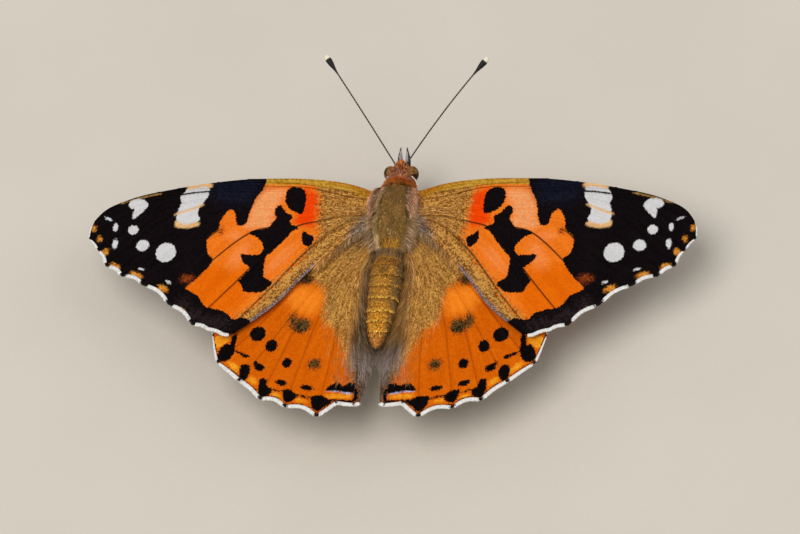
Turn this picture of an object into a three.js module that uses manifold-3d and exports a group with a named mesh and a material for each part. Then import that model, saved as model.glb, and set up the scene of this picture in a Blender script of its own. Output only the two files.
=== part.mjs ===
// A painted lady butterfly at life size, basking on the ground with its wings spread flat.
// Millimetres. +X is the butterfly's right, +Y its head end and +Z up. Tables give [right, ahead,
// up] with the wing roots at the middle, and heights are counted from the plane of the forewings.

import * as THREE from 'three';
import { mergeVertices } from 'three/addons/utils/BufferGeometryUtils.js';
import Module from 'manifold-3d';

const wasm = await Module();
wasm.setup();

// Driving dimensions
const GAP = 0.3; // left between neighbouring pieces
const GROUND = -6.6; // the wings are held this far above the ground
const WING_THICKNESS = 0.5;
const VEIN_RELIEF = 0.15; // how far a vein stands out of each face of the wing
const VEIN_HALF_WIDTH = 0.3;
const BODY_SIDES = 16;

// The trunk, as [ahead, up, half width, half height] of its sections, with flat ends that meet
const PROTHORAX = [
  [3.3, -1.25, 0.75, 0.8],
  [3.05, -1.25, 1.15, 1.15],
  [2.7, -1.25, 1.3, 1.3],
];
const THORAX = [
  [2.4, -1.2, 1.35, 1.35],
  [1.6, -1.05, 2.0, 2.05],
  [0.4, -0.95, 2.4, 2.45],
  [-1.2, -0.95, 2.5, 2.55],
  [-2.8, -1.0, 2.4, 2.4],
  [-4.2, -1.0, 2.0, 2.0],
  [-5.0, -0.95, 1.5, 1.5],
];
const ABDOMEN = [
  [-5.3, -0.95, 1.35, 1.35],
  [-6.3, -0.9, 1.7, 1.7],
  [-8.2, -0.75, 1.78, 1.75],
  [-10.6, -0.55, 1.66, 1.65],
  [-12.6, -0.35, 1.5, 1.5],
  [-14.2, -0.2, 1.2, 1.2],
  [-15.4, -0.1, 0.82, 0.85],
  [-16.2, -0.05, 0.45, 0.5],
  [-16.6, -0.05, 0.2, 0.25],
];
const ABDOMEN_SEGMENTS = 8;
const SEGMENT_SWELL = 0.035; // how much fuller a segment is than the folds at its ends

const HEAD = { centre: [0, 4.4, -1.2], radii: [1.25, 0.95, 1.15] };
const HEAD_REAR = 3.6; // the head's flat rear, against the prothorax
const EYE = { centre: [1.15, 4.4, -1.1], radii: [0.68, 0.8, 0.88] };

// Feelers, mouthparts and the flaps over the wing roots, on the right-hand side
const ANTENNA = {
  root: [0.62, 5.05, -0.42],
  rightTip: [8.65, 14.45, 4.15],
  leftTip: [-7.8, 14.7, 4.15],
  bow: 0.5, // rise of the shaft above the straight line from root to tip
  shaftRadius: 0.27,
  clubRadius: 0.34,
  clubLength: 2.1,
};
const PALP = {
  stations: [
    [0.42, 5.6, -1.75, 0.27],
    [0.5, 6.0, -1.45, 0.36],
    [0.5, 6.5, -1.1, 0.3],
    [0.47, 7.0, -0.8, 0.12],
  ],
};
const PROBOSCIS = { centre: [0, 5.0, -3.75], outer: 1.0, inner: 0.28, radius: 0.26, turns: 1.2 };
const TEGULA = { front: 1.9, rear: -1.3, low: 38, high: 78, thickness: 0.5 };

// Walking legs: the hip as [right, ahead] under the thorax, and the other joints from the knee
// to the claws as [right, ahead, above the ground]
const TARSUS_RADIUS = 0.29;
const HIP_RADIUS = 0.42;
const LEGS = {
  midleg: {
    hip: [1.1, 0.4],
    knee: [4.9, 2.6, 3.9],
    ankle: [7.2, 3.9, 0.75],
    heel: [7.5, 4.1, 0],
    toe: [9.3, 5.5, 0],
  },
  hindleg: {
    hip: [1.1, -2.9],
    knee: [4.3, -6.3, 3.6],
    ankle: [6.9, -9.4, 0.75],
    heel: [7.1, -9.8, 0],
    toe: [8.3, -12.2, 0],
  },
};
const FORELEG = [
  [0.6, 2.95, -2.75, 0.22],
  [0.85, 2.45, -3.35, 0.34],
  [1.0, 3.3, -3.85, 0.34],
  [0.95, 4.6, -3.4, 0.25],
];

// Wing veins from the root outwards, as [right, ahead] or [right, ahead, up] of points that
// they pass through. root is where each leaves the thorax, veined is the share of its length
// after which it stands out, cells the facets up to the next vein, and margin how far the
// wing's edge bulges beyond (or, below zero, falls short of) the chord to the next vein's end.
const FOREWING = {
  rootHeight: 0,
  rows: 10, // rows of facets from the root to the margin
  veins: [
    { name: 'costa', root: 1.15, cells: 1, margin: 0.03, points: [[5, 2.4], [9, 2.95], [15.5, 3]] },
    { name: 'subcosta', root: 0.8, cells: 1, margin: 0.05,
      points: [[5, 1.5], [9, 2.3], [13, 2.6], [18.6, 2.65]] },
    { name: 'radius 1', root: 0.45, cells: 1, margin: 0,
      points: [[5, 0.95], [9, 2], [13.5, 2.1], [18, 2.3], [22.6, 1.95]] },
    { name: 'radius 2', root: 0.2, veined: 0.5, cells: 1, margin: 0.12,
      points: [[5, 0.7], [9, 1.7], [14, 1.85], [19.5, 1.95], [24.7, 1.5]] },
    { name: 'radius 3', root: -0.05, veined: 0.62, cells: 1, margin: 0.3,
      points: [[5, 0.45], [9, 1.4], [14, 1.55], [19.3, 1.6], [24, 1], [28.4, 0.25]] },
    { name: 'apex', root: -0.25, veined: 1, cells: 1, margin: 0.1,
      points: [[5, 0.2], [9, 1.05], [14, 1.25], [19.5, 1.35], [25, 0.3], [30.8, -1.9]] },
    { name: 'radius 4', root: -0.45, veined: 0.76, cells: 1, margin: -0.12,
      points: [[5, -0.02], [9, 0.7], [14, 0.92], [19.5, 1.1], [25, -0.2], [31.15, -3.95]] },
    { name: 'radius 5', root: -0.62, veined: 0.6, cells: 1, margin: -0.25,
      points: [[5, -0.24], [9, 0.3], [14, 0.5], [19, 0.8], [24, -0.7], [27, -2.5], [30.1, -5.3]] },
    { name: 'media 1', root: -0.78, veined: 0.62, cells: 1, margin: -0.25,
      points: [[5, -0.46], [9, -0.1], [14, 0.05], [18, 0.3], [22.3, -1.05], [25, -2.8], [29, -7.1]] },
    { name: 'media 2', root: -0.92, veined: 0.62, cells: 1, margin: -0.15,
      points: [[5, -0.68], [9, -0.75], [14, -1], [17.8, -1.5], [23, -4.3], [27.2, -8.2]] },
    { name: 'media 3', root: -1.06, veined: 0.62, cells: 1, margin: -0.25,
      points: [[5, -0.9], [9, -1.6], [14, -2.4], [17.5, -2.85], [20, -5.2], [24.9, -9.2]] },
    { name: 'cubitus 1', root: -1.2, veined: 0.38, cells: 1, margin: -0.3,
      points: [[5, -1.12], [9, -2], [12, -2.5], [14.3, -3.1], [18, -6.9], [21.8, -11.5]] },
    { name: 'cubitus 2', root: -1.35, cells: 1, margin: -0.15,
      points: [[5, -1.35], [7.4, -1.85], [9.9, -2.6], [13, -6.1], [15.2, -8.9], [19.2, -13.8]] },
    { name: 'fold', root: -1.53, veined: 1, cells: 1, margin: -0.15,
      points: [[5, -1.75], [9.3, -4.9], [12.2, -7.9], [17.5, -14.3]] },
    { name: 'anal', root: -1.7, cells: 1, margin: 0,
      points: [[4.5, -2.05], [8, -5], [12.2, -10.5], [15.9, -14.9]] },
    { name: 'inner margin', root: -1.95, cells: 0, margin: 0,
      points: [[5, -4.3], [8, -7.6], [11, -11.3], [14.9, -14.75]] },
  ],
};
const HINDWING = {
  rootHeight: -1.25,
  rows: 9,
  veins: [
    { name: 'costa', root: -2.05, cells: 1, margin: 0.1,
      points: [[5, -3.1, -1.25], [9, -5.6, -1.25], [13, -9.1, -1.25], [16.8, -13.4, -1.2]] },
    { name: 'radius', root: -2.3, cells: 1, margin: 0.1,
      points: [[6, -4.8, -1.25], [11, -9.4, -1.25], [15, -12.9, -1.2], [17.2, -14.4, -1.15]] },
    { name: 'media 1', root: -2.55, cells: 1, margin: -0.15,
      points: [[6, -6, -1.25], [10, -10.4, -1.2], [13.6, -14.8, -1.1], [16.2, -17.6, -1]] },
    { name: 'media 2', root: -2.8, cells: 1, margin: -0.25,
      points: [[5.5, -6.6, -1.25], [9, -12, -1.1], [11.5, -16.3, -0.9], [13.6, -19.6, -0.8]] },
    { name: 'media 3', root: -3.05, cells: 1, margin: -0.3,
      points: [[5.2, -7.2, -1.2], [8.3, -13, -0.9], [9.9, -17.6, -0.7], [11.2, -21.8, -0.6]] },
    { name: 'cubitus 1', root: -3.3, cells: 1, margin: -0.25,
      points: [[4.7, -7.8, -1.15], [6.5, -13, -0.8], [7.5, -17.6, -0.55], [8.5, -22.8, -0.4]] },
    { name: 'cubitus 2', root: -3.55, cells: 1, margin: -0.1,
      points: [[3.8, -8, -1.15], [4.3, -13, -0.8], [4.6, -18, -0.5], [5.15, -23.9, -0.3]] },
    { name: 'fold', root: -3.75, veined: 1, cells: 1, margin: 0,
      points: [[3.2, -8, -1.3], [3.2, -13, -0.95], [3.1, -18, -0.6], [3.4, -22.4, -0.35]] },
    { name: 'anal', root: -3.95, cells: 1, margin: 0,
      points: [[2.65, -8, -1.45], [2.3, -13, -1.15], [1.9, -18, -0.8], [1.5, -22.6, -0.45]] },
    { name: 'inner margin', root: -4.2, cells: 0, margin: 0,
      points: [[2.25, -8, -1.65], [1.95, -12, -1.45], [1.3, -17, -1.05], [1.15, -22.4, -0.6]] },
  ],
};

// Colours, with the roughness of each surface
const FINISH = {
  fur: { color: 0x7a5a33, roughness: 0.9 },
  abdomen: { color: 0x94661f, roughness: 0.85 },
  forewing: { color: 0xd9650f, roughness: 0.75 },
  hindwing: { color: 0xc96a18, roughness: 0.8 },
  eye: { color: 0x3a3320, roughness: 0.35 },
  feeler: { color: 0x2a1d14, roughness: 0.7 },
  leg: { color: 0xa88c66, roughness: 0.8 },
};

const vector = (list) => new THREE.Vector3(...list);

// A closed body from points and faces, turned so that its faces point out.
function solid(points, faces) {
  let volume = 0;
  for (const [a, b, c] of faces) {
    volume += points[a].dot(new THREE.Vector3().crossVectors(points[b], points[c]));
  }
  const turned = volume < 0 ? faces.map(([a, b, c]) => [a, c, b]) : faces;
  const geometry = new THREE.BufferGeometry();
  const flat = points.flatMap((point) => point.toArray());
  geometry.setAttribute('position', new THREE.Float32BufferAttribute(flat, 3));
  geometry.setIndex(turned.flat());
  geometry.computeVertexNormals();
  return geometry;
}

// A body through a row of rings. A ring of one point is a pole, and any other end is flat.
function loft(rings) {
  const starts = [];
  let total = 0;
  for (const ring of rings) {
    starts.push(total);
    total += ring.length;
  }
  const sides = Math.max(...rings.map((ring) => ring.length));
  const at = (row, k) => starts[row] + (rings[row].length === 1 ? 0 : k % sides);
  const faces = [];
  for (let row = 0; row + 1 < rings.length; row += 1) {
    for (let k = 0; k < sides; k += 1) {
      if (rings[row].length > 1) faces.push([at(row, k), at(row, k + 1), at(row + 1, k)]);
      if (rings[row + 1].length > 1) {
        faces.push([at(row, k + 1), at(row + 1, k + 1), at(row + 1, k)]);
      }
    }
  }
  const last = rings.length - 1;
  for (let k = 1; k + 1 < sides; k += 1) {
    if (rings[0].length > 1) faces.push([at(0, 0), at(0, k + 1), at(0, k)]);
    if (rings[last].length > 1) faces.push([at(last, 0), at(last, k), at(last, k + 1)]);
  }
  return solid(rings.flat(), faces);
}

// A ring of points round a centre, on two half axes.
function ring(centre, across, over, sides) {
  return Array.from({ length: sides }, (_, k) => {
    const angle = (2 * Math.PI * (k + 0.5)) / sides;
    return centre.clone()
      .addScaledVector(across, Math.sin(angle))
      .addScaledVector(over, -Math.cos(angle));
  });
}

// The trunk's section at a place along it: smooth between the rows of its table.
function sectionAt(table, ahead) {
  const last = table.length - 1;
  let row = 0;
  while (row < last - 1 && ahead < table[row + 1][0]) row += 1;
  const t = THREE.MathUtils.clamp((table[row][0] - ahead) / (table[row][0] - table[row + 1][0]), 0, 1);
  const rows = [row - 1, row, row + 1, row + 2].map((r) => table[THREE.MathUtils.clamp(r, 0, last)]);
  const slope = (low, high, k) => (rows[high][k] - rows[low][k])
    / ((rows[high][0] - rows[low][0]) || 1) * (rows[2][0] - rows[1][0]);
  return [1, 2, 3].map((k) => {
    const square = t * t;
    const cube = square * t;
    return (2 * cube - 3 * square + 1) * rows[1][k] + (cube - 2 * square + t) * slope(0, 2, k)
      + (3 * square - 2 * cube) * rows[2][k] + (cube - square) * slope(1, 3, k);
  });
}

// A length of the trunk with elliptical sections; swell(share) makes it fuller or leaner.
function trunk(table, count, swell = () => 1) {
  const [front, rear] = [table[0][0], table[table.length - 1][0]];
  const rings = Array.from({ length: count + 1 }, (_, i) => {
    const ahead = THREE.MathUtils.lerp(front, rear, i / count);
    const [up, wide, high] = sectionAt(table, ahead);
    const full = swell(i / count);
    return ring(new THREE.Vector3(0, ahead, up), new THREE.Vector3(wide * full, 0, 0),
      new THREE.Vector3(0, 0, high * full), BODY_SIDES);
  });
  return loft(rings);
}

// A tapering rod along stations of [x, y, z, radius]; ends of no radius come to a point.
function rod(stations, sides, up = new THREE.Vector3(0, 0, 1)) {
  const rings = stations.map((station, i) => {
    const centre = vector(station.slice(0, 3));
    const before = vector(stations[Math.max(i - 1, 0)].slice(0, 3));
    const after = vector(stations[Math.min(i + 1, stations.length - 1)].slice(0, 3));
    const along = after.sub(before).normalize();
    const across = new THREE.Vector3().crossVectors(along, up).normalize();
    const over = new THREE.Vector3().crossVectors(across, along);
    if (station[3] === 0) return [centre];
    return ring(centre, across.multiplyScalar(station[3]), over.multiplyScalar(station[3]), sides);
  });
  return loft(rings);
}

// An ellipsoid with its poles ahead and behind.
function ellipsoid({ centre, radii }, grown = 0, rows = 8, sides = 14) {
  const [x, y, z] = radii.map((radius) => radius + grown);
  const rings = Array.from({ length: rows + 1 }, (_, i) => {
    const angle = (Math.PI * i) / rows;
    const middle = vector(centre).add(new THREE.Vector3(0, y * Math.cos(angle), 0));
    if (i === 0 || i === rows) return [middle];
    return ring(middle, new THREE.Vector3(x * Math.sin(angle), 0, 0),
      new THREE.Vector3(0, 0, z * Math.sin(angle)), sides);
  });
  return loft(rings);
}

// The same body on the left-hand side.
function mirrored(geometry) {
  const { array } = geometry.getAttribute('position');
  const points = [];
  for (let i = 0; i < array.length; i += 3) {
    points.push(new THREE.Vector3(-array[i], array[i + 1], array[i + 2]));
  }
  const faces = [];
  for (let i = 0; i < geometry.index.count; i += 3) {
    faces.push([0, 1, 2].map((k) => geometry.index.getX(i + k)));
  }
  return solid(points, faces);
}

function toManifold(geometry) {
  const bare = geometry.clone();
  bare.deleteAttribute('normal');
  const merged = mergeVertices(bare, 1e-4);
  return new wasm.Manifold(new wasm.Mesh({
    numProp: 3,
    vertProperties: new Float32Array(merged.getAttribute('position').array),
    triVerts: new Uint32Array(merged.index.array),
  }));
}

// The largest closed surface of a joined or cut body.
function fromManifold(manifold) {
  const pieces = manifold.decompose().sort((a, b) => b.volume() - a.volume());
  const { vertProperties, triVerts } = pieces[0].getMesh();
  const geometry = new THREE.BufferGeometry();
  geometry.setAttribute('position', new THREE.Float32BufferAttribute(vertProperties, 3));
  geometry.setIndex([...triVerts]);
  geometry.computeVertexNormals();
  return geometry;
}

// Half the thorax's width at a height, with the gap that a wing root keeps to it.
function thoraxSide(ahead, up) {
  const [middle, wide, high] = sectionAt(THORAX, ahead);
  return wide * Math.sqrt(1 - ((up - middle) / high) ** 2) + GAP;
}

// A joint of a given radius just clear of the underside of the trunk.
function hipJoint(table, [right, ahead], radius) {
  const [middle, wide, high] = sectionAt(table, ahead);
  const surface = new THREE.Vector3(right, ahead, middle - high * Math.sqrt(1 - (right / wide) ** 2));
  const normal = new THREE.Vector3(right / wide ** 2, 0, (surface.z - middle) / high ** 2).normalize();
  return surface.addScaledVector(normal, GAP + radius);
}

// One wing: its veins are rays from the root, with facets between, and the membrane is the
// same net of facets on both faces, thicker along each vein.
function wing({ veins, rootHeight, rows }) {
  const rays = veins.map((vein) => {
    const start = new THREE.Vector3(thoraxSide(vein.root, rootHeight), vein.root, rootHeight);
    const through = vein.points.map(([x, y, z = 0]) => new THREE.Vector3(x, y, z));
    return new THREE.CatmullRomCurve3([start, ...through], false, 'centripetal');
  });
  const [top, bottom] = [[], []];
  for (let row = 0; row <= rows; row += 1) {
    const share = row / rows;
    const [topRow, bottomRow] = [[], []];
    veins.forEach((vein, i) => {
      const here = rays[i].getPointAt(share);
      const next = (rays[i + 1] ?? rays[i]).getPointAt(share);
      const flank = Math.min(0.3, VEIN_HALF_WIDTH / Math.max(here.distanceTo(next), VEIN_HALF_WIDTH));
      const shares = [0];
      if (vein.cells > 0) {
        shares.push(flank);
        for (let k = 1; k <= vein.cells; k += 1) shares.push(k / (vein.cells + 1));
        shares.push(1 - flank);
      }
      const outward = new THREE.Vector3().crossVectors(next.clone().sub(here), new THREE.Vector3(0, 0, 1));
      outward.normalize().negate();
      for (const t of shares) {
        const point = here.clone().lerp(next, t);
        point.addScaledVector(outward, vein.margin * Math.sin(Math.PI * t) * share ** 6);
        const raised = t === 0 && share >= (vein.veined ?? 0) ? VEIN_RELIEF : 0;
        const half = WING_THICKNESS / 2 + raised;
        topRow.push(point.clone().add(new THREE.Vector3(0, 0, half)));
        bottomRow.push(point.clone().add(new THREE.Vector3(0, 0, -half)));
      }
    });
    top.push(topRow);
    bottom.push(bottomRow);
  }
  return sheet(top, bottom);
}

// A plate between two nets of points of the same size, closed round its edge.
function sheet(top, bottom) {
  const [rows, columns] = [top.length, top[0].length];
  const count = rows * columns;
  const at = (row, column) => row * columns + column;
  const faces = [];
  for (let row = 0; row + 1 < rows; row += 1) {
    for (let column = 0; column + 1 < columns; column += 1) {
      const [a, b] = [at(row, column), at(row, column + 1)];
      const [c, d] = [at(row + 1, column + 1), at(row + 1, column)];
      faces.push([a, b, c], [a, c, d]);
      faces.push([a + count, c + count, b + count], [a + count, d + count, c + count]);
    }
  }
  const edge = [];
  for (let column = 0; column + 1 < columns; column += 1) edge.push(at(0, column));
  for (let row = 0; row + 1 < rows; row += 1) edge.push(at(row, columns - 1));
  for (let column = columns - 1; column > 0; column -= 1) edge.push(at(rows - 1, column));
  for (let row = rows - 1; row > 0; row -= 1) edge.push(at(row, 0));
  edge.forEach((a, i) => {
    const b = edge[(i + 1) % edge.length];
    faces.push([b, a, a + count], [b, a + count, b + count]);
  });
  return solid([...top.flat(), ...bottom.flat()], faces);
}

// The head, hollowed at its sides for the eyes and flat behind.
function head() {
  let skull = toManifold(ellipsoid(HEAD, 0, 10, 16));
  for (const eye of [ellipsoid(EYE, GAP), mirrored(ellipsoid(EYE, GAP))]) {
    skull = skull.subtract(toManifold(eye));
  }
  const rear = new THREE.BoxGeometry(4, 1, 4).translate(0, HEAD_REAR - 0.5, HEAD.centre[2]);
  rear.deleteAttribute('uv');
  return fromManifold(skull.subtract(toManifold(rear)));
}

// A feeler: a slender bowed shaft with a club that ends in a blunt tip.
function antenna(root, tip) {
  const [start, end] = [vector(root), vector(tip)];
  const middle = start.clone().lerp(end, 0.5).add(new THREE.Vector3(0, 0, 2 * ANTENNA.bow));
  const curve = new THREE.QuadraticBezierCurve3(start, middle, end);
  const length = curve.getLength();
  const clubStart = 1 - ANTENNA.clubLength / length;
  const stations = [];
  const place = (share, radius) => stations.push([...curve.getPointAt(share).toArray(), radius]);
  place(0, ANTENNA.shaftRadius);
  place(0.03, ANTENNA.shaftRadius * 1.3);
  place(0.06, ANTENNA.shaftRadius);
  for (let k = 1; k <= 8; k += 1) {
    place(THREE.MathUtils.lerp(0.06, clubStart, k / 8), ANTENNA.shaftRadius);
  }
  const club = (t) => THREE.MathUtils.lerp(clubStart, 1, t);
  place(club(0.3), ANTENNA.clubRadius * 0.8);
  place(club(0.6), ANTENNA.clubRadius);
  place(club(0.85), ANTENNA.clubRadius * 0.85);
  place(club(0.97), ANTENNA.clubRadius * 0.4);
  place(1, 0);
  return rod(stations, 8);
}

// The tongue, coiled like a watch spring under the head.
function proboscis() {
  const { centre, outer, inner, radius, turns } = PROBOSCIS;
  const steps = 22;
  const stations = [];
  for (let i = 0; i <= steps; i += 1) {
    const angle = 0.5 * Math.PI - (2 * Math.PI * turns * i) / steps;
    const reach = THREE.MathUtils.lerp(outer, inner, i / steps);
    stations.push([centre[0], centre[1] + reach * Math.cos(angle), centre[2] + reach * Math.sin(angle),
      radius]);
  }
  return rod(stations, 6, new THREE.Vector3(1, 0, 0));
}

// The scale-like flap over a forewing's root: a curved plate that follows the thorax.
function tegula() {
  const [rows, columns] = [8, 6];
  const [top, bottom] = [[], []];
  for (let i = 0; i <= rows; i += 1) {
    const along = i / rows;
    const ahead = THREE.MathUtils.lerp(TEGULA.front, TEGULA.rear, along);
    const [middle, wide, high] = sectionAt(THORAX, ahead);
    const spread = Math.sin(Math.PI * (0.12 + 0.8 * along)) ** 0.7;
    const centre = (TEGULA.low + TEGULA.high) / 2;
    const reach = ((TEGULA.high - TEGULA.low) / 2) * spread;
    const [outer, inner] = [[], []];
    for (let k = 0; k <= columns; k += 1) {
      const across = (2 * k) / columns - 1;
      const angle = THREE.MathUtils.degToRad(centre - reach * across);
      const place = (lift) => new THREE.Vector3((wide + lift) * Math.cos(angle), ahead,
        middle + (high + lift) * Math.sin(angle));
      const lift = TEGULA.thickness * (1 - 0.5 * Math.abs(across) ** 3);
      inner.push(place(GAP + 0.02));
      outer.push(place(GAP + 0.02 + lift));
    }
    top.push(outer);
    bottom.push(inner);
  }
  return sheet(top, bottom);
}

// A walking leg: hip, thigh, shin and a foot that lies flat on the ground, fused at its joints.
function leg({ hip, knee, ankle, heel, toe }) {
  const up = TARSUS_RADIUS * Math.cos(Math.PI / 8);
  const onGround = ([x, y, z]) => [x, y, z + GROUND];
  const sole = ([x, y]) => [x, y, GROUND + up];
  const stretch = (from, to, radii) => {
    const [start, end] = [vector(from), vector(to)];
    const reach = end.clone().sub(start).normalize();
    const shares = radii.map((_, i) => i / (radii.length - 1));
    const inside = radii.map((radius, i) => [...start.clone().lerp(end, shares[i]).toArray(), radius]);
    const before = start.clone().addScaledVector(reach, -0.6 * radii[0]);
    const after = end.clone().addScaledVector(reach, 0.6 * radii[radii.length - 1]);
    return toManifold(rod([[...before.toArray(), 0.6 * radii[0]], ...inside,
      [...after.toArray(), 0.6 * radii[radii.length - 1]]], 8));
  };
  const hipPoint = hipJoint(THORAX, hip, HIP_RADIUS).toArray();
  const thigh = stretch(hipPoint, onGround(knee), [HIP_RADIUS, 0.45, 0.34]);
  const shin = stretch(onGround(knee), onGround(ankle), [0.33, 0.3, 0.28]);
  const ankleJoint = stretch(onGround(ankle), sole(heel), [0.28, 0.27]);
  const foot = toManifold(rod([[...sole(heel), TARSUS_RADIUS], [...sole(toe), TARSUS_RADIUS]], 8));
  return fromManifold(thigh.add(shin).add(ankleJoint).add(foot));
}

// Every piece of the butterfly, as [name, geometry, finish]
const pieces = [];
const both = (name, right, finish, left = mirrored(right)) => {
  pieces.push([`${name}_left`, left, finish], [`${name}_right`, right, finish]);
};
pieces.push(['head', head(), 'fur']);
pieces.push(['prothorax', trunk(PROTHORAX, 3), 'fur']);
pieces.push(['thorax', trunk(THORAX, 12), 'fur']);
pieces.push(['abdomen', trunk(ABDOMEN, 3 * ABDOMEN_SEGMENTS, (share) => 1
  + SEGMENT_SWELL * (Math.abs(Math.sin(Math.PI * ABDOMEN_SEGMENTS * share)) - 0.6)), 'abdomen']);
both('eye', ellipsoid(EYE), 'eye');
both('antenna', antenna(ANTENNA.root, ANTENNA.rightTip), 'feeler',
  antenna(ANTENNA.root.map((value, axis) => (axis === 0 ? -value : value)), ANTENNA.leftTip));
both('palp', rod([...PALP.stations, [0.45, 7.25, -0.7, 0]], 8), 'fur');
pieces.push(['proboscis', proboscis(), 'feeler']);
both('tegula', tegula(), 'fur');
both('forewing', wing(FOREWING), 'forewing');
both('hindwing', wing(HINDWING), 'hindwing');
both('foreleg', rod(FORELEG, 8), 'leg');
for (const [name, joints] of Object.entries(LEGS)) both(name, leg(joints), 'leg');

const butterfly = new THREE.Group();
for (const [name, geometry, finish] of pieces) {
  const material = new THREE.MeshStandardMaterial({ ...FINISH[finish], metalness: 0 });
  const mesh = new THREE.Mesh(geometry, material);
  mesh.name = name;
  butterfly.add(mesh);
}

// The origin is on the ground, under the middle of the spread wings and body.
const box = new THREE.Box3().setFromObject(butterfly);
const middle = box.getCenter(new THREE.Vector3());
butterfly.position.set(-middle.x, -middle.y, -box.min.z);

export default butterfly;
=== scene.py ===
import bpy
import numpy as np
from mathutils import Matrix, Vector


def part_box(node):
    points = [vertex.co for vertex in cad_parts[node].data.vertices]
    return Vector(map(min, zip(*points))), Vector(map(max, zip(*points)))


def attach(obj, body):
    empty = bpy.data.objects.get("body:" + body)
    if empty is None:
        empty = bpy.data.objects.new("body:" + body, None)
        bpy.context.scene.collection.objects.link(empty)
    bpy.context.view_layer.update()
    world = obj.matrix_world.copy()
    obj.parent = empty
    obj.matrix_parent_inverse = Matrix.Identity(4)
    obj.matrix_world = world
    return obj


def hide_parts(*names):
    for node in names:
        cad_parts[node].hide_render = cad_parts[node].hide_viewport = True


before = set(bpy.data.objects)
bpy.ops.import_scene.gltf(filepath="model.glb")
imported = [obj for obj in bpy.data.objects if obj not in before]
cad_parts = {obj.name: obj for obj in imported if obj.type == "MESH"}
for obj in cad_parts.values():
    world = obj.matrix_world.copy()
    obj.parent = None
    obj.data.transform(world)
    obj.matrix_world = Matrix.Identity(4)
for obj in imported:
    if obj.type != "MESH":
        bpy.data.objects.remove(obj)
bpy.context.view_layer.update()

# The studio
# Lengths are in millimetres from the middle between the wing roots, and ROOTS is that place in the
# frame. The camera looks down from behind the right hind wing, rolled so that the wings lie level.
MM = 0.001
THORAX_FRONT = 2.4
thorax_low, thorax_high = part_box("thorax")
wing_low, wing_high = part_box("forewing_right")
ROOTS = np.array([(thorax_low[0] + thorax_high[0]) / 2, thorax_high[1] - THORAX_FRONT * MM,
                  (wing_low[2] + wing_high[2]) / 2])

view_right, view_up = Vector((0.9735, 0.1143, -0.198)), Vector((0, 0.866, 0.5))
view_back = view_right.cross(view_up)
VIEW_DISTANCE = 900
VIEW_WIDTH = 80
VIEW_ASIDE, VIEW_BELOW = 0.57, 6.2
SENSOR_WIDTH = 36
lens = bpy.data.cameras.new("camera")
lens.sensor_width = SENSOR_WIDTH
lens.lens = SENSOR_WIDTH * VIEW_DISTANCE / VIEW_WIDTH
camera = bpy.data.objects.new("camera", lens)
camera.matrix_world = Matrix.Translation(
    Vector(ROOTS)
    + MM * (VIEW_ASIDE * view_right - VIEW_BELOW * view_up + VIEW_DISTANCE * view_back)
) @ Matrix((view_right, view_up, view_back)).transposed().to_4x4()
bpy.context.collection.objects.link(camera)
bpy.context.scene.camera = camera
bpy.context.scene.view_settings.view_transform = "Standard"


def soft_light(name, place, size, watts):
    """A round area light at a place, turned so that its face looks at the middle of the floor."""
    lamp = bpy.data.lights.new(name, "AREA")
    lamp.shape, lamp.size, lamp.energy = "DISK", size, watts
    holder = bpy.data.objects.new(name, lamp)
    holder.location = place
    holder.rotation_euler = Vector(place).to_track_quat("Z", "Y").to_euler()
    bpy.context.collection.objects.link(holder)


soft_light("key_light", (-0.1, -0.12, 0.58), 0.5, 2.1)
soft_light("fill_light", (0.45, 0.1, 0.42), 0.4, 0.45)
sky = bpy.data.worlds.new("sky")
sky.use_nodes = True
sky.node_tree.nodes["Background"].inputs["Color"].default_value = (0.93, 0.96, 1, 1)
sky.node_tree.nodes["Background"].inputs["Strength"].default_value = 0.5
bpy.context.scene.world = sky


def tint(code, alpha=True):
    """The linear colour of a six-figure sRGB code."""
    part = np.array([int(code[k:k + 2], 16) for k in (0, 2, 4)]) / 255
    linear = np.where(part > 0.04045, ((part + 0.055) / 1.055) ** 2.4, part / 12.92)
    return (*linear, 1.0) if alpha else linear


class Value:
    """A number or colour inside a finish. Its operators add the Math nodes they spell."""

    def __init__(self, finish, socket):
        self.finish = finish
        self.socket = socket

    def _pair(operation, swapped=False):
        def applied(self, other=0.0):
            terms = (other, self) if swapped else (self, other)
            return self.finish.node("ShaderNodeMath", {"operation": operation},
                                    dict(enumerate(terms)))
        return applied

    __add__ = __radd__ = _pair("ADD")
    __mul__ = __rmul__ = _pair("MULTIPLY")
    __sub__, __rsub__ = _pair("SUBTRACT"), _pair("SUBTRACT", swapped=True)


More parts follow.
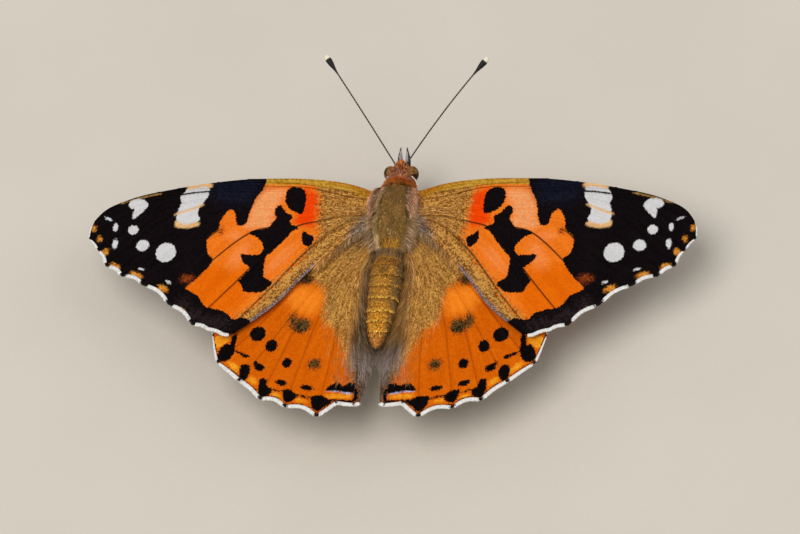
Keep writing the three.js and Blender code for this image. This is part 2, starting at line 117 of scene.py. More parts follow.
class Finish:
    """A material that is put together from values and ends in one glossy or matt surface."""

    def __init__(self, name):
        self.material = bpy.data.materials.new(name)
        self.material.use_nodes = True
        self.tree = self.material.node_tree
        self.tree.nodes.clear()
        place = self.node("ShaderNodeTexCoord", output="Object")
        self.place = self.node("ShaderNodeVectorMath", {"operation": "SCALE"},
                               {0: place, "Scale": 1 / MM}, output="Vector")

    def node(self, kind, settings=(), sockets=(), output=0):
        """Adds a node: settings first, then each socket's number or link; gives one output."""
        node = self.tree.nodes.new(kind)
        for key, value in dict(settings).items():
            setattr(node, key, value)
        for key, value in dict(sockets).items():
            if isinstance(value, Value):
                self.tree.links.new(value.socket, node.inputs[key])
            else:
                node.inputs[key].default_value = value
        return Value(self, node.outputs[output]) if len(node.outputs) else None

    def carried(self, name, output="Fac"):
        """A value that the mesh carries at its points."""
        return self.node("ShaderNodeAttribute", {"attribute_name": name}, output=output)

    def noise(self, scale, detail=2.0, place=None):
        """Cloudy noise between 0 and 1 with so many lumps to the millimetre."""
        return self.node("ShaderNodeTexNoise", {},
                         {"Vector": place or self.place, "Scale": scale, "Detail": detail}, "Fac")

    def cells(self, scale, output="Color"):
        """Flat irregular cells, so many to the millimetre: their random tone or the way in."""
        return self.node("ShaderNodeTexVoronoi", {"voronoi_dimensions": "2D"},
                         {"Vector": self.place, "Scale": scale, "Randomness": 0.85}, output)

    def step(self, value, low, high):
        """0 below low, 1 above high and an S-curve between."""
        return self.node("ShaderNodeMapRange", {"interpolation_type": "SMOOTHSTEP"},
                         {"Value": value, "From Min": low, "From Max": high})

    def blend(self, share, first, second):
        """The first colour where share is 0 and the second where it is 1."""
        return self.node("ShaderNodeMix", {"data_type": "RGBA"}, {0: share, 6: first, 7: second},
                         output=2)

    def dimmed(self, color, share):
        """A colour times a number."""
        return self.node("ShaderNodeVectorMath", {"operation": "SCALE"},
                         {0: color, "Scale": share})

    def surface(self, color, roughness, height=None, depth=0.02, **constants):
        """Ends the finish: height is a bump, from 0 to 1, of so many millimetres."""
        sockets = {"Base Color": color, "Roughness": roughness}
        sockets.update({key.replace("_", " "): value for key, value in constants.items()})
        if height is not None:
            sockets["Normal"] = self.node("ShaderNodeBump", {}, {
                "Strength": 1.0, "Distance": depth * MM, "Height": height})
        shader = self.node("ShaderNodeBsdfPrincipled", {}, sockets)
        self.node("ShaderNodeOutputMaterial", {}, {"Surface": shader})
        return self.material


ground = Finish("pale_ground")
ground_tone = ground.noise(0.05, 3.0)
ground_finish = ground.surface(
    ground.blend(ground_tone, tint("cdc3b4"), tint("d6cdbf")), 0.9,
    ground.noise(1.5, 4.0), 0.05)
FLOOR_REACH = 3.0
floor_mesh = bpy.data.meshes.new("floor")
floor_mesh.from_pydata([(x * FLOOR_REACH, y * FLOOR_REACH, 0)
                        for x, y in ((-1, -1), (1, -1), (1, 1), (-1, 1))], [], [(0, 1, 2, 3)])
floor_mesh.materials.append(ground_finish)
floor = bpy.data.objects.new("floor", floor_mesh)
bpy.context.collection.objects.link(floor)


# The skin of head, neck, thorax and abdomen
# One thin horny shell in rings, widest at the thorax that drives the wings and drawn in at the
# neck and the waist. Each ring of the abdomen slides a little way over the next one behind it.

# [ahead, height of the middle, half width, half height]
TRUNK = [
    [5.36, -1.22, 0.0, 0.0],
    [5.22, -1.22, 0.46, 0.44],
    [4.9, -1.2, 0.84, 0.8],
    [4.4, -1.2, 1.04, 1.0],
    [3.85, -1.22, 1.0, 0.94],
    [3.45, -1.24, 1.02, 0.96],
    [3.1, -1.24, 1.18, 1.12],
    [2.7, -1.2, 1.3, 1.26],
    [2.2, -1.12, 1.5, 1.5],
    [1.6, -1.05, 1.84, 1.86],
    [0.4, -0.95, 2.2, 2.22],
    [-1.2, -0.95, 2.3, 2.32],
    [-2.8, -1.0, 2.2, 2.2],
    [-4.2, -1.0, 1.86, 1.86],
    [-5.2, -0.95, 1.5, 1.48],
    [-5.9, -0.92, 1.36, 1.34],
    [-6.6, -0.87, 1.58, 1.56],
    [-8.2, -0.75, 1.68, 1.66],
    [-10.6, -0.55, 1.56, 1.56],
    [-12.6, -0.35, 1.39, 1.41],
    [-14.2, -0.2, 1.11, 1.12],
    [-15.4, -0.1, 0.76, 0.78],
    [-16.1, -0.05, 0.4, 0.44],
    [-16.5, -0.05, 0.0, 0.0],
]
# Hind edges of the abdomen's rings, from the waist to the tip
RING_EDGES = np.array([-5.9, -7.2, -8.5, -9.75, -11.2, -12.75, -13.9, -14.95, -16.0, -16.9])
RING_STEP = 0.06
RING_BOW = 0.4


def cubic(t, start, leave, end, arrive):
    """The cubic in t from 0 to 1 with given values at its two ends and given slopes there."""
    return ((2 * t ** 3 - 3 * t ** 2 + 1) * start + (t ** 3 - 2 * t ** 2 + t) * leave
            + (3 * t ** 2 - 2 * t ** 3) * end + (t ** 3 - t ** 2) * arrive)


def between(table, place):
    """The values of a table's rows at any place between them: a cubic for each pair of rows, with
    the slope at a row taken from its two neighbours."""
    table = np.asarray(table, float)
    stations, values = table[:, 0], table[:, 1:]
    slopes = np.gradient(values, stations, axis=0)
    place = np.asarray(place, float)
    order = np.sign(stations[-1] - stations[0])
    row = np.clip(np.searchsorted(order * stations, order * place, "right") - 1,
                  0, len(stations) - 2)
    step = stations[row + 1] - stations[row]
    t = np.clip((place - stations[row]) / step, 0, 1)[..., None]
    step = step[..., None]
    return cubic(t, values[row], step * slopes[row], values[row + 1], step * slopes[row + 1])


def ring_share(ahead, aside):
    """How far back a place lies in its ring of the abdomen, from 0 at the front to 1 at the edge.
    On the flanks the edges lie further ahead, by the square of the share of the half width."""
    ahead = ahead - RING_BOW * aside ** 2
    ring = np.clip(np.searchsorted(-RING_EDGES, -ahead, "right") - 1, 0, len(RING_EDGES) - 2)
    share = (RING_EDGES[ring] - ahead) / (RING_EDGES[ring] - RING_EDGES[ring + 1])
    return np.where(ahead < RING_EDGES[0], share, 0.5)


def trunk_skin(ahead, turn):
    """A point of the skin: round the section's ellipse by turn from the belly over the right
    flank (a quarter) and the back (a half), fuller towards the hind edge of each ring."""
    middle, wide, high = np.moveaxis(np.maximum(between(TRUNK, ahead), [-9, 0, 0]), -1, 0)
    angle = 2 * np.pi * turn
    full = 1 + RING_STEP * (ring_share(ahead, np.sin(angle)) ** 2 - 0.5) * (ahead < RING_EDGES[0])
    return np.stack([wide * full * np.sin(angle), ahead + 0 * turn,
                     middle - high * full * np.cos(angle)], -1)


def ring_faces(rows, sides):
    """Four-sided faces round a stack of rings, and three-sided ones to a pole at either end."""
    k = np.arange(sides)
    following = (k + 1) % sides
    starts = sides * np.arange(rows - 1)[:, None]
    quads = np.stack([starts + k, starts + following, starts + sides + following,
                      starts + sides + k], -1).reshape(-1, 4)
    front = np.stack([following, k, np.full(sides, rows * sides)], -1)
    last = sides * (rows - 1)
    rear = np.stack([last + k, last + following, np.full(sides, rows * sides + 1)], -1)
    return [quads, np.concatenate([front, rear])]


def piece_of(name, points, faces, finish, numbers=(), color=None, maps=(), closed=True):
    """A mesh object of points in millimetres. A closed shell is turned outwards by the sign of its
    volume, the sum over its faces of the corners' triple product."""
    points = np.asarray(points, float).reshape(-1, 3)
    if closed:
        volume = sum(np.einsum("ij,ij->", points[part[:, 0]], np.cross(
            points[part[:, k]], points[part[:, k + 1]])) for part in faces
            for k in range(1, part.shape[1] - 1))
        if volume < 0:
            faces = [part[:, ::-1] for part in faces]
    corners = np.concatenate([part.ravel() for part in faces])
    sizes = np.concatenate([np.full(len(part), part.shape[1]) for part in faces])
    mesh = bpy.data.meshes.new(name)
    mesh.vertices.add(len(points))
    mesh.vertices.foreach_set("co", (ROOTS + MM * points).ravel())
    mesh.loops.add(len(corners))
    mesh.loops.foreach_set("vertex_index", corners)
    mesh.polygons.add(len(sizes))
    mesh.polygons.foreach_set("loop_start", np.cumsum(sizes) - sizes)
    mesh.polygons.foreach_set("use_smooth", np.ones(len(sizes), bool))
    for key, values in dict(numbers).items():
        mesh.attributes.new(key, "FLOAT", "POINT").data.foreach_set(
            "value", np.asarray(values, np.float32).ravel())
    if color is not None:
        full = np.concatenate([color, np.ones((len(points), 1))], 1)
        mesh.attributes.new("tint", "FLOAT_COLOR", "POINT").data.foreach_set(
            "color", full.astype(np.float32).ravel())
    for key, values in dict(maps).items():
        mesh.uv_layers.new(name=key).data.foreach_set(
            "uv", np.asarray(values, np.float32)[corners].ravel())
    mesh.update(calc_edges=True)
    mesh.validate()
    for material in finish if isinstance(finish, list) else [finish]:
        mesh.materials.append(material)
    piece = bpy.data.objects.new(name, mesh)
    bpy.context.collection.objects.link(piece)
    return piece


def ramp(value, low, high):
    """0 at low, 1 at high, straight between."""
    return np.clip((np.asarray(value) - low) / (high - low), 0, 1)


def over(under, color, share):
    """One colour laid over another by a share for each point."""
    return under + np.asarray(share)[:, None] * (tint(color, False) - under)


def layered(color, *layers):
    """Colours laid in turn over a first one, each by its share for each point."""
    for code, share in layers:
        color = over(color, code, share)
    return color


def plain(code, count):
    """One colour for so many points."""
    return np.tile(tint(code, False), (count, 1))


def trunk_tint(points):
    """The coat's colour at points of the trunk, for skin and hair alike: bands along the body,
    each paler on the flanks and cream on the belly. The shield is the share of the half width,
    counted from the middle of the thorax's olive back, a little right of the body's middle."""
    x, y, z = points.T
    middle, wide, high = np.moveaxis(between(TRUNK, y), -1, 0)
    wide, high = np.maximum(wide, 0.3), np.maximum(high, 0.3)
    across, up, right = np.abs(x) / wide, (z - middle) / high, x > 0
    shield = np.abs(x - 0.25) / wide + 0.06 * ramp(y, -0.5, 1.5)
    waves = np.sin(2.3 * y + 1.4 * np.sin(3 * x)) + np.sin(3.1 * x + 1)
    thorax = layered(
        plain("946c32", len(points)), ("6e4e26", 0.5 * ramp(waves, 0, 1)),
        # Partly own colour, partly painted shade: a dark line at the disc's edges beside the root
        # flaps, stronger on the right side
        ("402a14", ramp(shield, 0.46, 0.56) * ramp(shield, 0.72, 0.64) * ramp(y, -2.5, -0.5)
         * ramp(y, 2, 1.3) * np.where(right, 0.95, 0.5)),
        ("e6c48c", ramp(shield, 0.62, 0.76)),
        ("a88a54", (x < 0) * ramp(shield, 0.62, 0.68) * ramp(shield, 0.9, 0.8) * ramp(y, -4, -3)),
        ("eeb284", ramp(shield, 0.76, 0.86) * ramp(y, -0.8, 0.4)),
        ("c88a20", ramp(y, -4.05, -4.4) * ramp(shield, 0.55, 0.35)),
        ("785c40", ramp(y, -4.8, -5.1) * 0.85), ("94703e", ramp(y, -5.3, -5.6)))
    abdomen = layered(
        thorax, ("be802a", ramp(y, -5.85, -6.1)),
        ("4a3014", ramp(y, -7.2, -7.6) * ramp(y, -8.5, -8.0) * ramp(across, 0.36, 0.1) * 0.7),
        ("d09c54", ramp(y, -5.9, -6.4) * ramp(across, 0.65, 0.9)),
        # Painted shade: the abdomen's right flank is darkened, and the gold of the rear rings stops
        # short of it there
        ("7c6034", right * ramp(y, -5.9, -6.4) * ramp(across, 0.45, 0.8) * 0.75),
        ("d08a20", ramp(y, -11.5, -13) * np.where(right, ramp(across, 0.95, 0.6), 1)),
        ("c98038", ramp(y, -14.8, -15.4)))
    head = layered(
        abdomen, ("f2a444", ramp(y, 2.15, 2.35)), ("b0683c", ramp(y, 3.2, 3.4)),
        ("cc722c", ramp(y, 4.1, 4.4) * ramp(across, 0.95, 0.7)))
    share = ring_share(y, across)
    return layered(
        head, ("fcc450", (y < -9) * (y > -15) * ramp(share, 0.85, 0.9)
               * (0.4 + 0.6 * ramp(y, -9.8, -11.0))),
        ("3a2712", (y < -8) * (y > -15) * ramp(share, 0.16, 0.02) * 0.5),
        ("cdbd9f", ramp(up, -0.15, -0.6)))


def coat_finish(name, roughness=0.8, sheen=0.15, contrast=1.1):
    """Hair and scales: each has a tone of its own and darkens towards its root."""
    coat = Finish(name)
    tone = coat.carried("tone")
    shade = (1 - contrast / 3 + contrast * tone * tone) * (0.7 + 0.55 * coat.carried("tip"))
    color = coat.dimmed(coat.carried("tint", "Color"), shade)
    return coat.surface(color, roughness, Specular_IOR_Level=0.12, Sheen_Weight=sheen,
                        Sheen_Roughness=0.4)


skin = Finish("body_skin")
grain = skin.cells(7.0)
skin_finish = skin.surface(
    skin.dimmed(skin.carried("tint", "Color"), 0.45 + 0.5 * grain), 0.85,
    0.5 * grain + 0.5 * skin.noise(12.0), 0.03, Specular_IOR_Level=0.25)

TRUNK_ROWS, TRUNK_SIDES = 300, 56
trunk_ahead = np.linspace(TRUNK[0][0], TRUNK[-1][0], TRUNK_ROWS + 2)
rings = trunk_skin(trunk_ahead[1:-1, None], np.arange(TRUNK_SIDES)[None] / TRUNK_SIDES)
trunk_ends = trunk_skin(trunk_ahead[[0, -1]], np.zeros(2))
trunk_points = np.concatenate([rings.reshape(-1, 3), trunk_ends])
body = piece_of("body", trunk_points, ring_faces(TRUNK_ROWS, TRUNK_SIDES), skin_finish,
                color=trunk_tint(trunk_points))
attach(body, "root")
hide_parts("head", "prothorax", "thorax", "abdomen")


# The four wings
# Two films of horn a few hundredths of a millimetre thick, held out by stiff hollow veins and
# covered on both faces with flat scales. A scale has one colour, so a marking is a mosaic of them.

# [ahead at the root, share of the length before it stands out, bulge of the margin to the next
# vein, how far the film stops short of the fringe's tips, points that it passes]
FOREWING_VEINS = [
    [1.15, 0, 0.03, 0.05, [[5, 2.4], [9, 2.95], [15.5, 3]]],
    [0.8, 0, 0.05, 0.05, [[5, 1.5], [9, 2.3], [13, 2.6], [18.6, 2.65]]],
    [0.45, 0, 0, 0.05, [[5, 0.95], [9, 2], [13.5, 2.1], [18, 2.3], [22.6, 1.95]]],
    [0.2, 0.5, 0.12, 0.05, [[5, 0.7], [9, 1.7], [14, 1.85], [19.5, 1.95], [24.7, 1.5]]],
    [-0.05, 0.62, 0.3, 0.05, [[5, 0.45], [9, 1.4], [14, 1.55], [19.3, 1.6], [24, 1], [28.4, 0.25]]],
    [-0.25, 1, 0.1, 0.15, [[5, 0.2], [9, 1.05], [14, 1.25], [19.5, 1.35], [25, 0.3], [30.9, -1.9]]],
    [-0.45, 0.76, -0.12, 0.2,
     [[5, -0.02], [9, 0.7], [14, 0.92], [19.5, 1.1], [25, -0.2], [31.2, -3.95]]],
    [-0.62, 0.6, -0.25, 0.25,
     [[5, -0.24], [9, 0.3], [14, 0.5], [19, 0.8], [24, -0.7], [27, -2.5], [30.1, -5.3]]],
    [-0.78, 0.62, -0.32, 0.25,
     [[5, -0.46], [9, -0.1], [14, 0.05], [18, 0.3], [22.3, -1.05], [25, -2.8], [29, -7.1]]],
    [-0.92, 0.62, -0.38, 0.25,
     [[5, -0.68], [9, -0.75], [14, -1], [17.8, -1.5], [23, -4.3], [27.2, -8.2]]],
    [-1.06, 0.62, -0.45, 0.25,
     [[5, -0.9], [9, -1.6], [14, -2.4], [17.5, -2.85], [20, -5.2], [24.9, -9.2]]],
    [-1.2, 0.38, -0.42, 0.25,
     [[5, -1.12], [9, -2], [12, -2.5], [14.2, -3.1], [17.85, -6.35], [20.2, -9.4], [21.9, -11.5]]],
    [-1.35, 0, -0.2, 0.25,
     [[5, -1.35], [7.4, -1.85], [9.9, -2.6], [13, -6.1], [15.2, -8.9], [19.2, -13.8]]],
    [-1.53, 0.9, -0.1, 0.25, [[5, -1.75], [9.3, -4.9], [12.2, -7.9], [17.5, -14.3]]],
    [-1.7, 0, 0, 0.25, [[4.5, -2.05], [8, -5], [12.2, -10.5], [15.9, -14.9]]],
    [-1.95, 1, 0, 0.15, [[5, -4.45], [8, -7.85], [11, -11.65], [14.9, -14.95]]],
]
HINDWING_VEINS = [
    [-1.7, 0, 0.05, 0.1,
     [[5, -3.1, -0.6], [9, -5.85, -0.6], [13, -9.45, -0.6], [16.8, -13.7, -0.7]]],
    [-2.3, 0, 0.05, 0.25,
     [[6, -5.15, -0.6], [11, -9.75, -0.6], [15, -13.2, -0.65], [17.2, -14.65, -0.7]]],
    [-2.65, 0, -0.05, 0.2,
     [[6, -6.35, -0.6], [10, -10.7, -0.6], [13.6, -15.1, -0.65], [16.2, -17.75, -0.7]]],
    [-2.9, 0, -0.15, 0.1,
     [[5.5, -6.95, -0.65], [9, -12.2, -0.65], [11.5, -16.4, -0.7], [13.6, -19.65, -0.7]]],
    [-3.15, 0, -0.42, 0.1,
     [[5.2, -7.45, -0.8], [8.3, -13.05, -0.75], [9.9, -17.65, -0.7], [11.2, -21.8, -0.6]]],
    [-3.4, 0, -0.5, 0.1,
     [[4.7, -8, -0.8], [6.5, -13, -0.7], [7.5, -17.6, -0.55], [8.5, -22.8, -0.4]]],
    [-3.65, 0, 0, 0.12,
     [[3.8, -8.1, -0.85], [4.3, -13, -0.7], [4.6, -18, -0.5], [5.15, -23.9, -0.3]]],
    [-3.85, 0.9, 0.02, 0.15,
     [[3.1, -8.1, -0.9], [3.05, -13, -0.75], [3.0, -18, -0.55], [3.4, -22.4, -0.35]]],
    [-4.05, 0, 0, 0.15,
     [[2.4, -8.1, -1.0], [2.15, -13, -0.85], [1.8, -18, -0.65], [1.5, -22.6, -0.45]]],
    [-4.3, 1, 0, 0.2,
     [[1.95, -8, -1.25], [1.75, -12, -1.1], [1.25, -16.5, -0.85], [1.15, -22.4, -0.6]]],
    [-4.6, 1, 0, 0.2,
     [[1.2, -8, -2.45], [0.95, -12, -2.3], [0.35, -15.5, -1.85], [0.25, -17, -1.5],
      [0.75, -20.2, -0.9], [1.0, -22.3, -0.6]]],
]
FOREWING_HEIGHT, HINDWING_HEIGHT = 0.0, -0.85
# Half the film's thickness, how far veins stand out of each face and reach aside, how deep the
# roots sink into the thorax, and how closely columns crowd beside the veins
FILM_HALF, VEIN_RISE, VEIN_REACH, ROOT_SINK, CROWDING = 0.05, 0.08, 0.1, 0.35, 0.7
# The film's sag between two veins: at most, and as a share of their distance
SAG_MOST, SAG_SHARE = 0.12, 0.04
SIDES = (("left", -1), ("right", 1))
UP = np.array([0.0, 0, 1])


def run_along(path):
    """How far along a path each of its points lies: the running sum of the steps."""
    return np.concatenate([[0], np.cumsum(np.linalg.norm(np.diff(path, axis=0), axis=1))])


def at_run(place, run, values):
    """The rows of a path's values at places along it, straight between its points."""
    return np.stack([np.interp(place, run, part) for part in values.T], -1)


RAY_STEPS = 60


def ray(points, shares):
    """Points at shares of the length of a smooth line through the given ones: cubics whose speeds
    go by the square roots of the distances between neighbours."""
    points = np.asarray(points, float)
    line = np.concatenate([[2 * points[0] - points[1]], points, [2 * points[-1] - points[-2]]])
    gaps = np.sqrt(np.linalg.norm(np.diff(line, axis=0), axis=1))[:, None]
    before, here, after = gaps[:-2], gaps[1:-1], gaps[2:]
    p0, p1, p2, p3 = line[:-3], line[1:-2], line[2:-1], line[3:]
    leave = ((p1 - p0) / before - (p2 - p0) / (before + here) + (p2 - p1) / here) * here
    arrive = ((p2 - p1) / here - (p3 - p1) / (here + after) + (p3 - p2) / after) * here
    fine = cubic(np.linspace(0, 1, RAY_STEPS)[:, None, None], p1, leave, p2, arrive)
    fine = np.swapaxes(fine, 0, 1).reshape(-1, points.shape[1])
    run = run_along(fine)
    return at_run(shares * run[-1], run, fine)


def wing_net(veins, height, rows, pitch):
    """The middle surface of a right wing as rows of points from the root to the margin. Veins
    are rays; between two, columns run along straight chords and lie closest beside the veins. The
    margin bulges by a sine, and the film sags a little between veins. Gives the points, each
    column's place counted in veins, and how strongly a vein stands out at each point."""
    shares = np.linspace(0, 1, rows + 1)
    rays = []
    for ahead, _, _, short, through in veins:
        middle, wide, high = between(TRUNK, ahead)
        side = wide * np.sqrt(1 - ((height - middle) / high) ** 2) - ROOT_SINK
        points = [[side, ahead, height]] + [(*point, 0.0)[:3] for point in through]
        length = np.linalg.norm(np.subtract(points[-1], points[0]))
        rays.append(ray(points, shares * (1 - short / length)))
    columns, places, reliefs = [], [], []
    for k in range(len(veins) - 1):
        here, following = rays[k][:, None], rays[k + 1][:, None]
        width = np.linalg.norm(following - here, axis=2)
        count = max(4, int(np.ceil(width.max() / pitch)))
        even = np.arange(count) / count
        t = even - CROWDING * np.sin(2 * np.pi * even) / (2 * np.pi)
        place = here * (1 - t[:, None]) + following * t[:, None]
        outward = np.cross(here - following, UP)
        outward /= np.linalg.norm(outward, axis=2)[..., None]
        bow = np.sin(np.pi * t)
        place = place + outward * (veins[k][2] * bow * shares[:, None] ** 6)[..., None]
        sag = np.minimum(SAG_MOST, SAG_SHARE * width) * bow
        place[..., 2] -= sag * np.sin(np.pi * shares[:, None]) ** 0.5
        reach = VEIN_REACH * (1.5 - shares[:, None])
        stands = [ramp(shares[:, None], vein[1] - 0.02, vein[1] + 0.04) for vein in veins[k:k + 2]]
        relief = np.maximum(stands[0] * np.exp(-(t * width / reach) ** 2),
                            stands[1] * np.exp(-((1 - t) * width / reach) ** 2))
        columns.append(k + t)
        places.append(place)
        reliefs.append(relief)
    columns.append([len(veins) - 1.0])
    places.append(rays[-1][:, None])
    reliefs.append(np.zeros((rows + 1, 1)))
    return np.concatenate(places, 1), np.concatenate(columns), np.concatenate(reliefs, 1)


def plate_faces(rows, columns):
    """Faces of a plate between two nets of the same size: the upper, the lower and the rim."""
    corner = np.arange(rows - 1)[:, None] * columns + np.arange(columns - 1)
    upper = np.stack([corner, corner + 1, corner + columns + 1, corner + columns], -1)
    upper = upper.reshape(-1, 4)
    across, along = np.arange(columns), np.arange(rows) * columns
    edge = np.concatenate([across[:-1], along[:-1] + columns - 1,
                           across[:0:-1] + (rows - 1) * columns, along[:0:-1]])
    following = np.roll(edge, -1)
    count = rows * columns
    rim = np.stack([following, edge, edge + count, following + count], -1)
    return upper, (upper + count)[:, ::-1], rim


# Depths outside an outline are followed for so many millimetres
FAR = 2.0


def outline_depth(places, corners):
    """How deep flat places lie inside a closed outline, in millimetres, and below nought outside
    it, to FAR. The outline is rounded by cubics through its corners; the depth is the least
    distance to its edges, and a place is inside where a line to the right crosses it an odd
    number of times."""
    corners = np.asarray(corners, float)
    t = np.arange(4)[:, None, None] / 4
    p0, p1, p2, p3 = (np.roll(corners, -k, axis=0) for k in (-1, 0, 1, 2))
    loop = 0.5 * (2 * p1 + (p2 - p0) * t + (2 * p0 - 5 * p1 + 4 * p2 - p3) * t ** 2
                  + (3 * p1 - p0 - 3 * p2 + p3) * t ** 3)
    start = np.swapaxes(loop, 0, 1).reshape(-1, 2)
    step = np.roll(start, -1, axis=0) - start
    depth = np.full(len(places), -FAR)
    near = ((places > start.min(0) - FAR) & (places < start.max(0) + FAR)).all(1)
    offset = places[near][:, None] - start
    share = np.clip((offset * step).sum(2) / (step ** 2).sum(1), 0, 1)
    distance = np.sqrt(((offset - share[..., None] * step) ** 2).sum(2).min(1))
    above = offset[..., 1] >= 0
    crosses = above != (offset[..., 1] - step[:, 1] >= 0)
    reach = start[:, 0] + step[:, 0] * offset[..., 1] / np.where(step[:, 1] == 0, 1, step[:, 1])
    odd = (crosses & (reach > places[near][:, :1])).sum(1) % 2
    depth[near] = np.where(odd, distance, -distance)
    return depth


def areas(places, *outlines):
    """The depth in the deepest of several outlines."""
    return np.max([outline_depth(places, outline) for outline in outlines], axis=0)


def spots(places, table):
    """The depth in the deepest of several oval spots of [right, ahead, half axes, turn]."""
    x, y, a, b, turn = np.array(table, float).T
    c, s = np.cos(np.radians(turn)), np.sin(np.radians(turn))
    dx, dy = places[:, :1] - x, places[:, 1:] - y
    radius = np.sqrt(((dx * c + dy * s) / a) ** 2 + ((dy * c - dx * s) / b) ** 2)
    return ((1 - radius) * np.minimum(a, b)).max(1).clip(-FAR)


# Outlines of the forewing's markings as (right, ahead), and its spots
CELL_SPOT = [(9.15, 0.2), (9.2, 1.1), (9.55, 1.75), (10.2, 2.05), (10.95, 1.95), (11.3, 1.3),
             (11.2, 0.3), (10.75, -0.4), (10.1, -0.85), (9.3, -0.95)]
CELL_BLOTCH = [(11.8, 0), (12.2, -0.5), (12.2, -1), (12, -1.6), (12.6, -2.8), (10.3, -2.7),
               (10.5, -1.9), (10.3, -1.3), (10.9, -1), (11.3, -0.5)]
SALMON_PATCH = [(11.4, 1.6), (12.4, 1.9), (13.5, 1.7), (14.2, 0.9), (14.6, -0.3), (14.85, -1.8),
                (15.2, -2.4), (14.2, -2.8), (13, -2.7), (12.3, -2.3), (12.3, -1.2), (12.2, -0.3),
                (11.7, 0.6)]
RED_PATCH = [(8, 1.3), (8.7, 1.6), (9.5, 1.8), (9.6, 0.4), (9.8, -0.9), (10, -2), (8.8, -2.4),
             (7.9, -2.2), (7.7, 0)]
APEX = [(13.5, 3.3), (13.7, 2.0), (14.1, 1.2), (14.4, 0.6), (14.7, -0.5), (14.9, -1.6),
        (15.1, -2.2), (15.5, -2.4), (15.9, -2.3), (16.1, -1.8), (16.3, -1), (16.8, -0.5),
        (17.3, -1), (17.7, -2), (17.8, -2.9), (18.4, -3.4), (18.8, -4), (18.7, -5), (18.4, -5.8),
        (17.9, -6.3), (18.3, -7.2), (19.3, -8.5), (20.3, -9.5), (20.1, -9.8), (19.5, -10.2),
        (18.9, -10.5), (18.5, -11.2), (17.9, -11.8), (17, -12), (16, -12.3), (15.4, -12.8),
        (14.9, -13.2), (13.3, -13.3), (12.5, -17), (24, -20), (36, -8), (36, 6), (24, 7), (14, 6)]
CENTRAL_BAND = [(9.5, -2.7), (10.4, -2.3), (12.3, -2.6), (14.1, -3), (14.5, -3.3), (13.8, -3.7),
                (13.2, -4.3), (12.9, -4.9), (13, -5.4), (13.4, -5.8), (15, -5.7), (15.15, -5.9),
                (14.8, -6.6), (14, -7.3), (14.2, -7.7), (14.6, -8.3), (14.95, -8.8), (14.6, -9.3),
                (14.3, -10), (13.6, -10.1), (12.6, -10.1), (12.2, -9.9), (11.6, -9.3), (11.5, -9),
                (11.8, -8.7), (12.2, -8.5), (12.5, -7.9), (12.5, -6.1), (12, -5.5), (11, -4.3),
                (10.2, -3.2), (9.9, -2.9)]
ROOT_BLOTCH = [(7.8, -3.8), (8.6, -3.3), (9, -2.9), (9.05, -4), (8.7, -4.6), (8.1, -4.8)]
COSTAL_BAR = [(19.3, 1.6), (19.4, 2.1), (20, 2.4), (21.3, 2.1), (21.8, 1.6), (22.2, 0.9), (22, 0.2),
              (22.2, -0.4), (22.3, -1.2), (22.2, -2), (21.7, -2.4), (20.9, -2.4), (20.2, -2.1),
              (19.9, -1.6), (20.2, -1), (20.1, -0.3), (19.8, 0.2), (19.4, 0.9)]
NEAR_APEX = [(25.5, 0.2), (26.2, 0.7), (27.1, 0.6), (27.5, 0.1), (27.2, -0.4), (26.8, -0.4),
             (26.9, -0.9), (26.8, -1.6), (26.4, -1.3), (25.6, -0.4)]
WHITE_SPOTS = [[26.6, -2.9, 0.53, 0.53, 0], [25.4, -4.7, 0.65, 0.65, 0],
               [22.9, -5.52, 1.02, 1.1, 0], [29.35, -1.6, 0.45, 0.15, 25],
               [28.5, -2.6, 0.25, 0.45, 0], [28.3, -4.5, 0.27, 0.55, 0],
               [25.15, -7.45, 0.32, 0.13, 20], [22.2, -8.9, 0.33, 0.15, 38]]
AMBER_SPOTS = [[30.7, -2.7, 0.22, 0.32, 0], [29.95, -3.95, 0.26, 0.36, 0],
               [29.15, -5.45, 0.32, 0.42, 20], [27.9, -7.1, 0.55, 0.3, 30],
               [25.65, -8.1, 0.62, 0.3, 25], [22.65, -9.65, 0.58, 0.32, 38],
               [20.35, -12.2, 0.4, 0.2, 42]]
RUST_SPOTS = [[20.3, -8.55, 0.62, 0.5, 0], [17.45, -3.05, 0.25, 0.3, 0]]
COSTAL_GOLD = [(1, 3.4), (1.5, 0.2), (2.85, 0.75), (4.4, 1.45), (6.3, 1.9), (9.4, 2.3),
               (12.5, 2.35), (13.9, 2.45), (13.9, 3.6), (8, 3.6), (4, 3.2)]
COSTAL_BRONZE = [(1, 3.6), (1, 0), (2.85, 0.75), (4.2, 1.6), (5.2, 2.2), (6.6, 2.6), (7.6, 3.6)]
ROOT_BROWN = [(0, 4), (9, 4), (8.2, 2.1), (7.8, 0.2), (7.6, -2.2), (7.4, -3.4), (8, -4.6),
              (9.2, -6.7), (11.5, -9.2), (13, -11.6), (14.6, -13.3), (14, -17), (8, -14), (0, -4)]
UMBER = [(15.2, -13.4), (17.5, -12.9), (19.5, -11.6), (20.8, -10.8), (20.6, -11.8), (18.6, -13.6),
         (16, -14.6)]
BAR_VEINS = [
    [(19.8, 0.12), (21, -0.42), (22.4, -0.95), (22.4, -1.2), (21, -0.66), (19.8, -0.12)],
    [(20, -1.95), (20.9, -2.2), (21.7, -2.15), (22.3, -1.8), (22.3, -2.5), (21, -2.7),
     (19.9, -2.4)],
    [(19.2, 2), (20, 2.15), (21.4, 1.85), (21.6, 2.2), (20, 2.7), (19.1, 2.4)]]
BAR_LINE = [(19.2, 1.64), (20.5, 1.56), (22, 1.3), (22, 1.14), (20.5, 1.38), (19.2, 1.46)]
COSTAL_RUST = [(24.3, 1.42), (25.9, 1.06), (27.3, 0.62), (28.4, 0.26), (28.3, 0.12), (27.2, 0.44),
               (25.8, 0.9), (24.3, 1.24)]
BLUSH = [[15.3, -5.9, 1.5, 0.7, -60], [10.9, -6.2, 1.7, 0.5, -51], [15.9, -3.6, 0.8, 0.5, 0]]
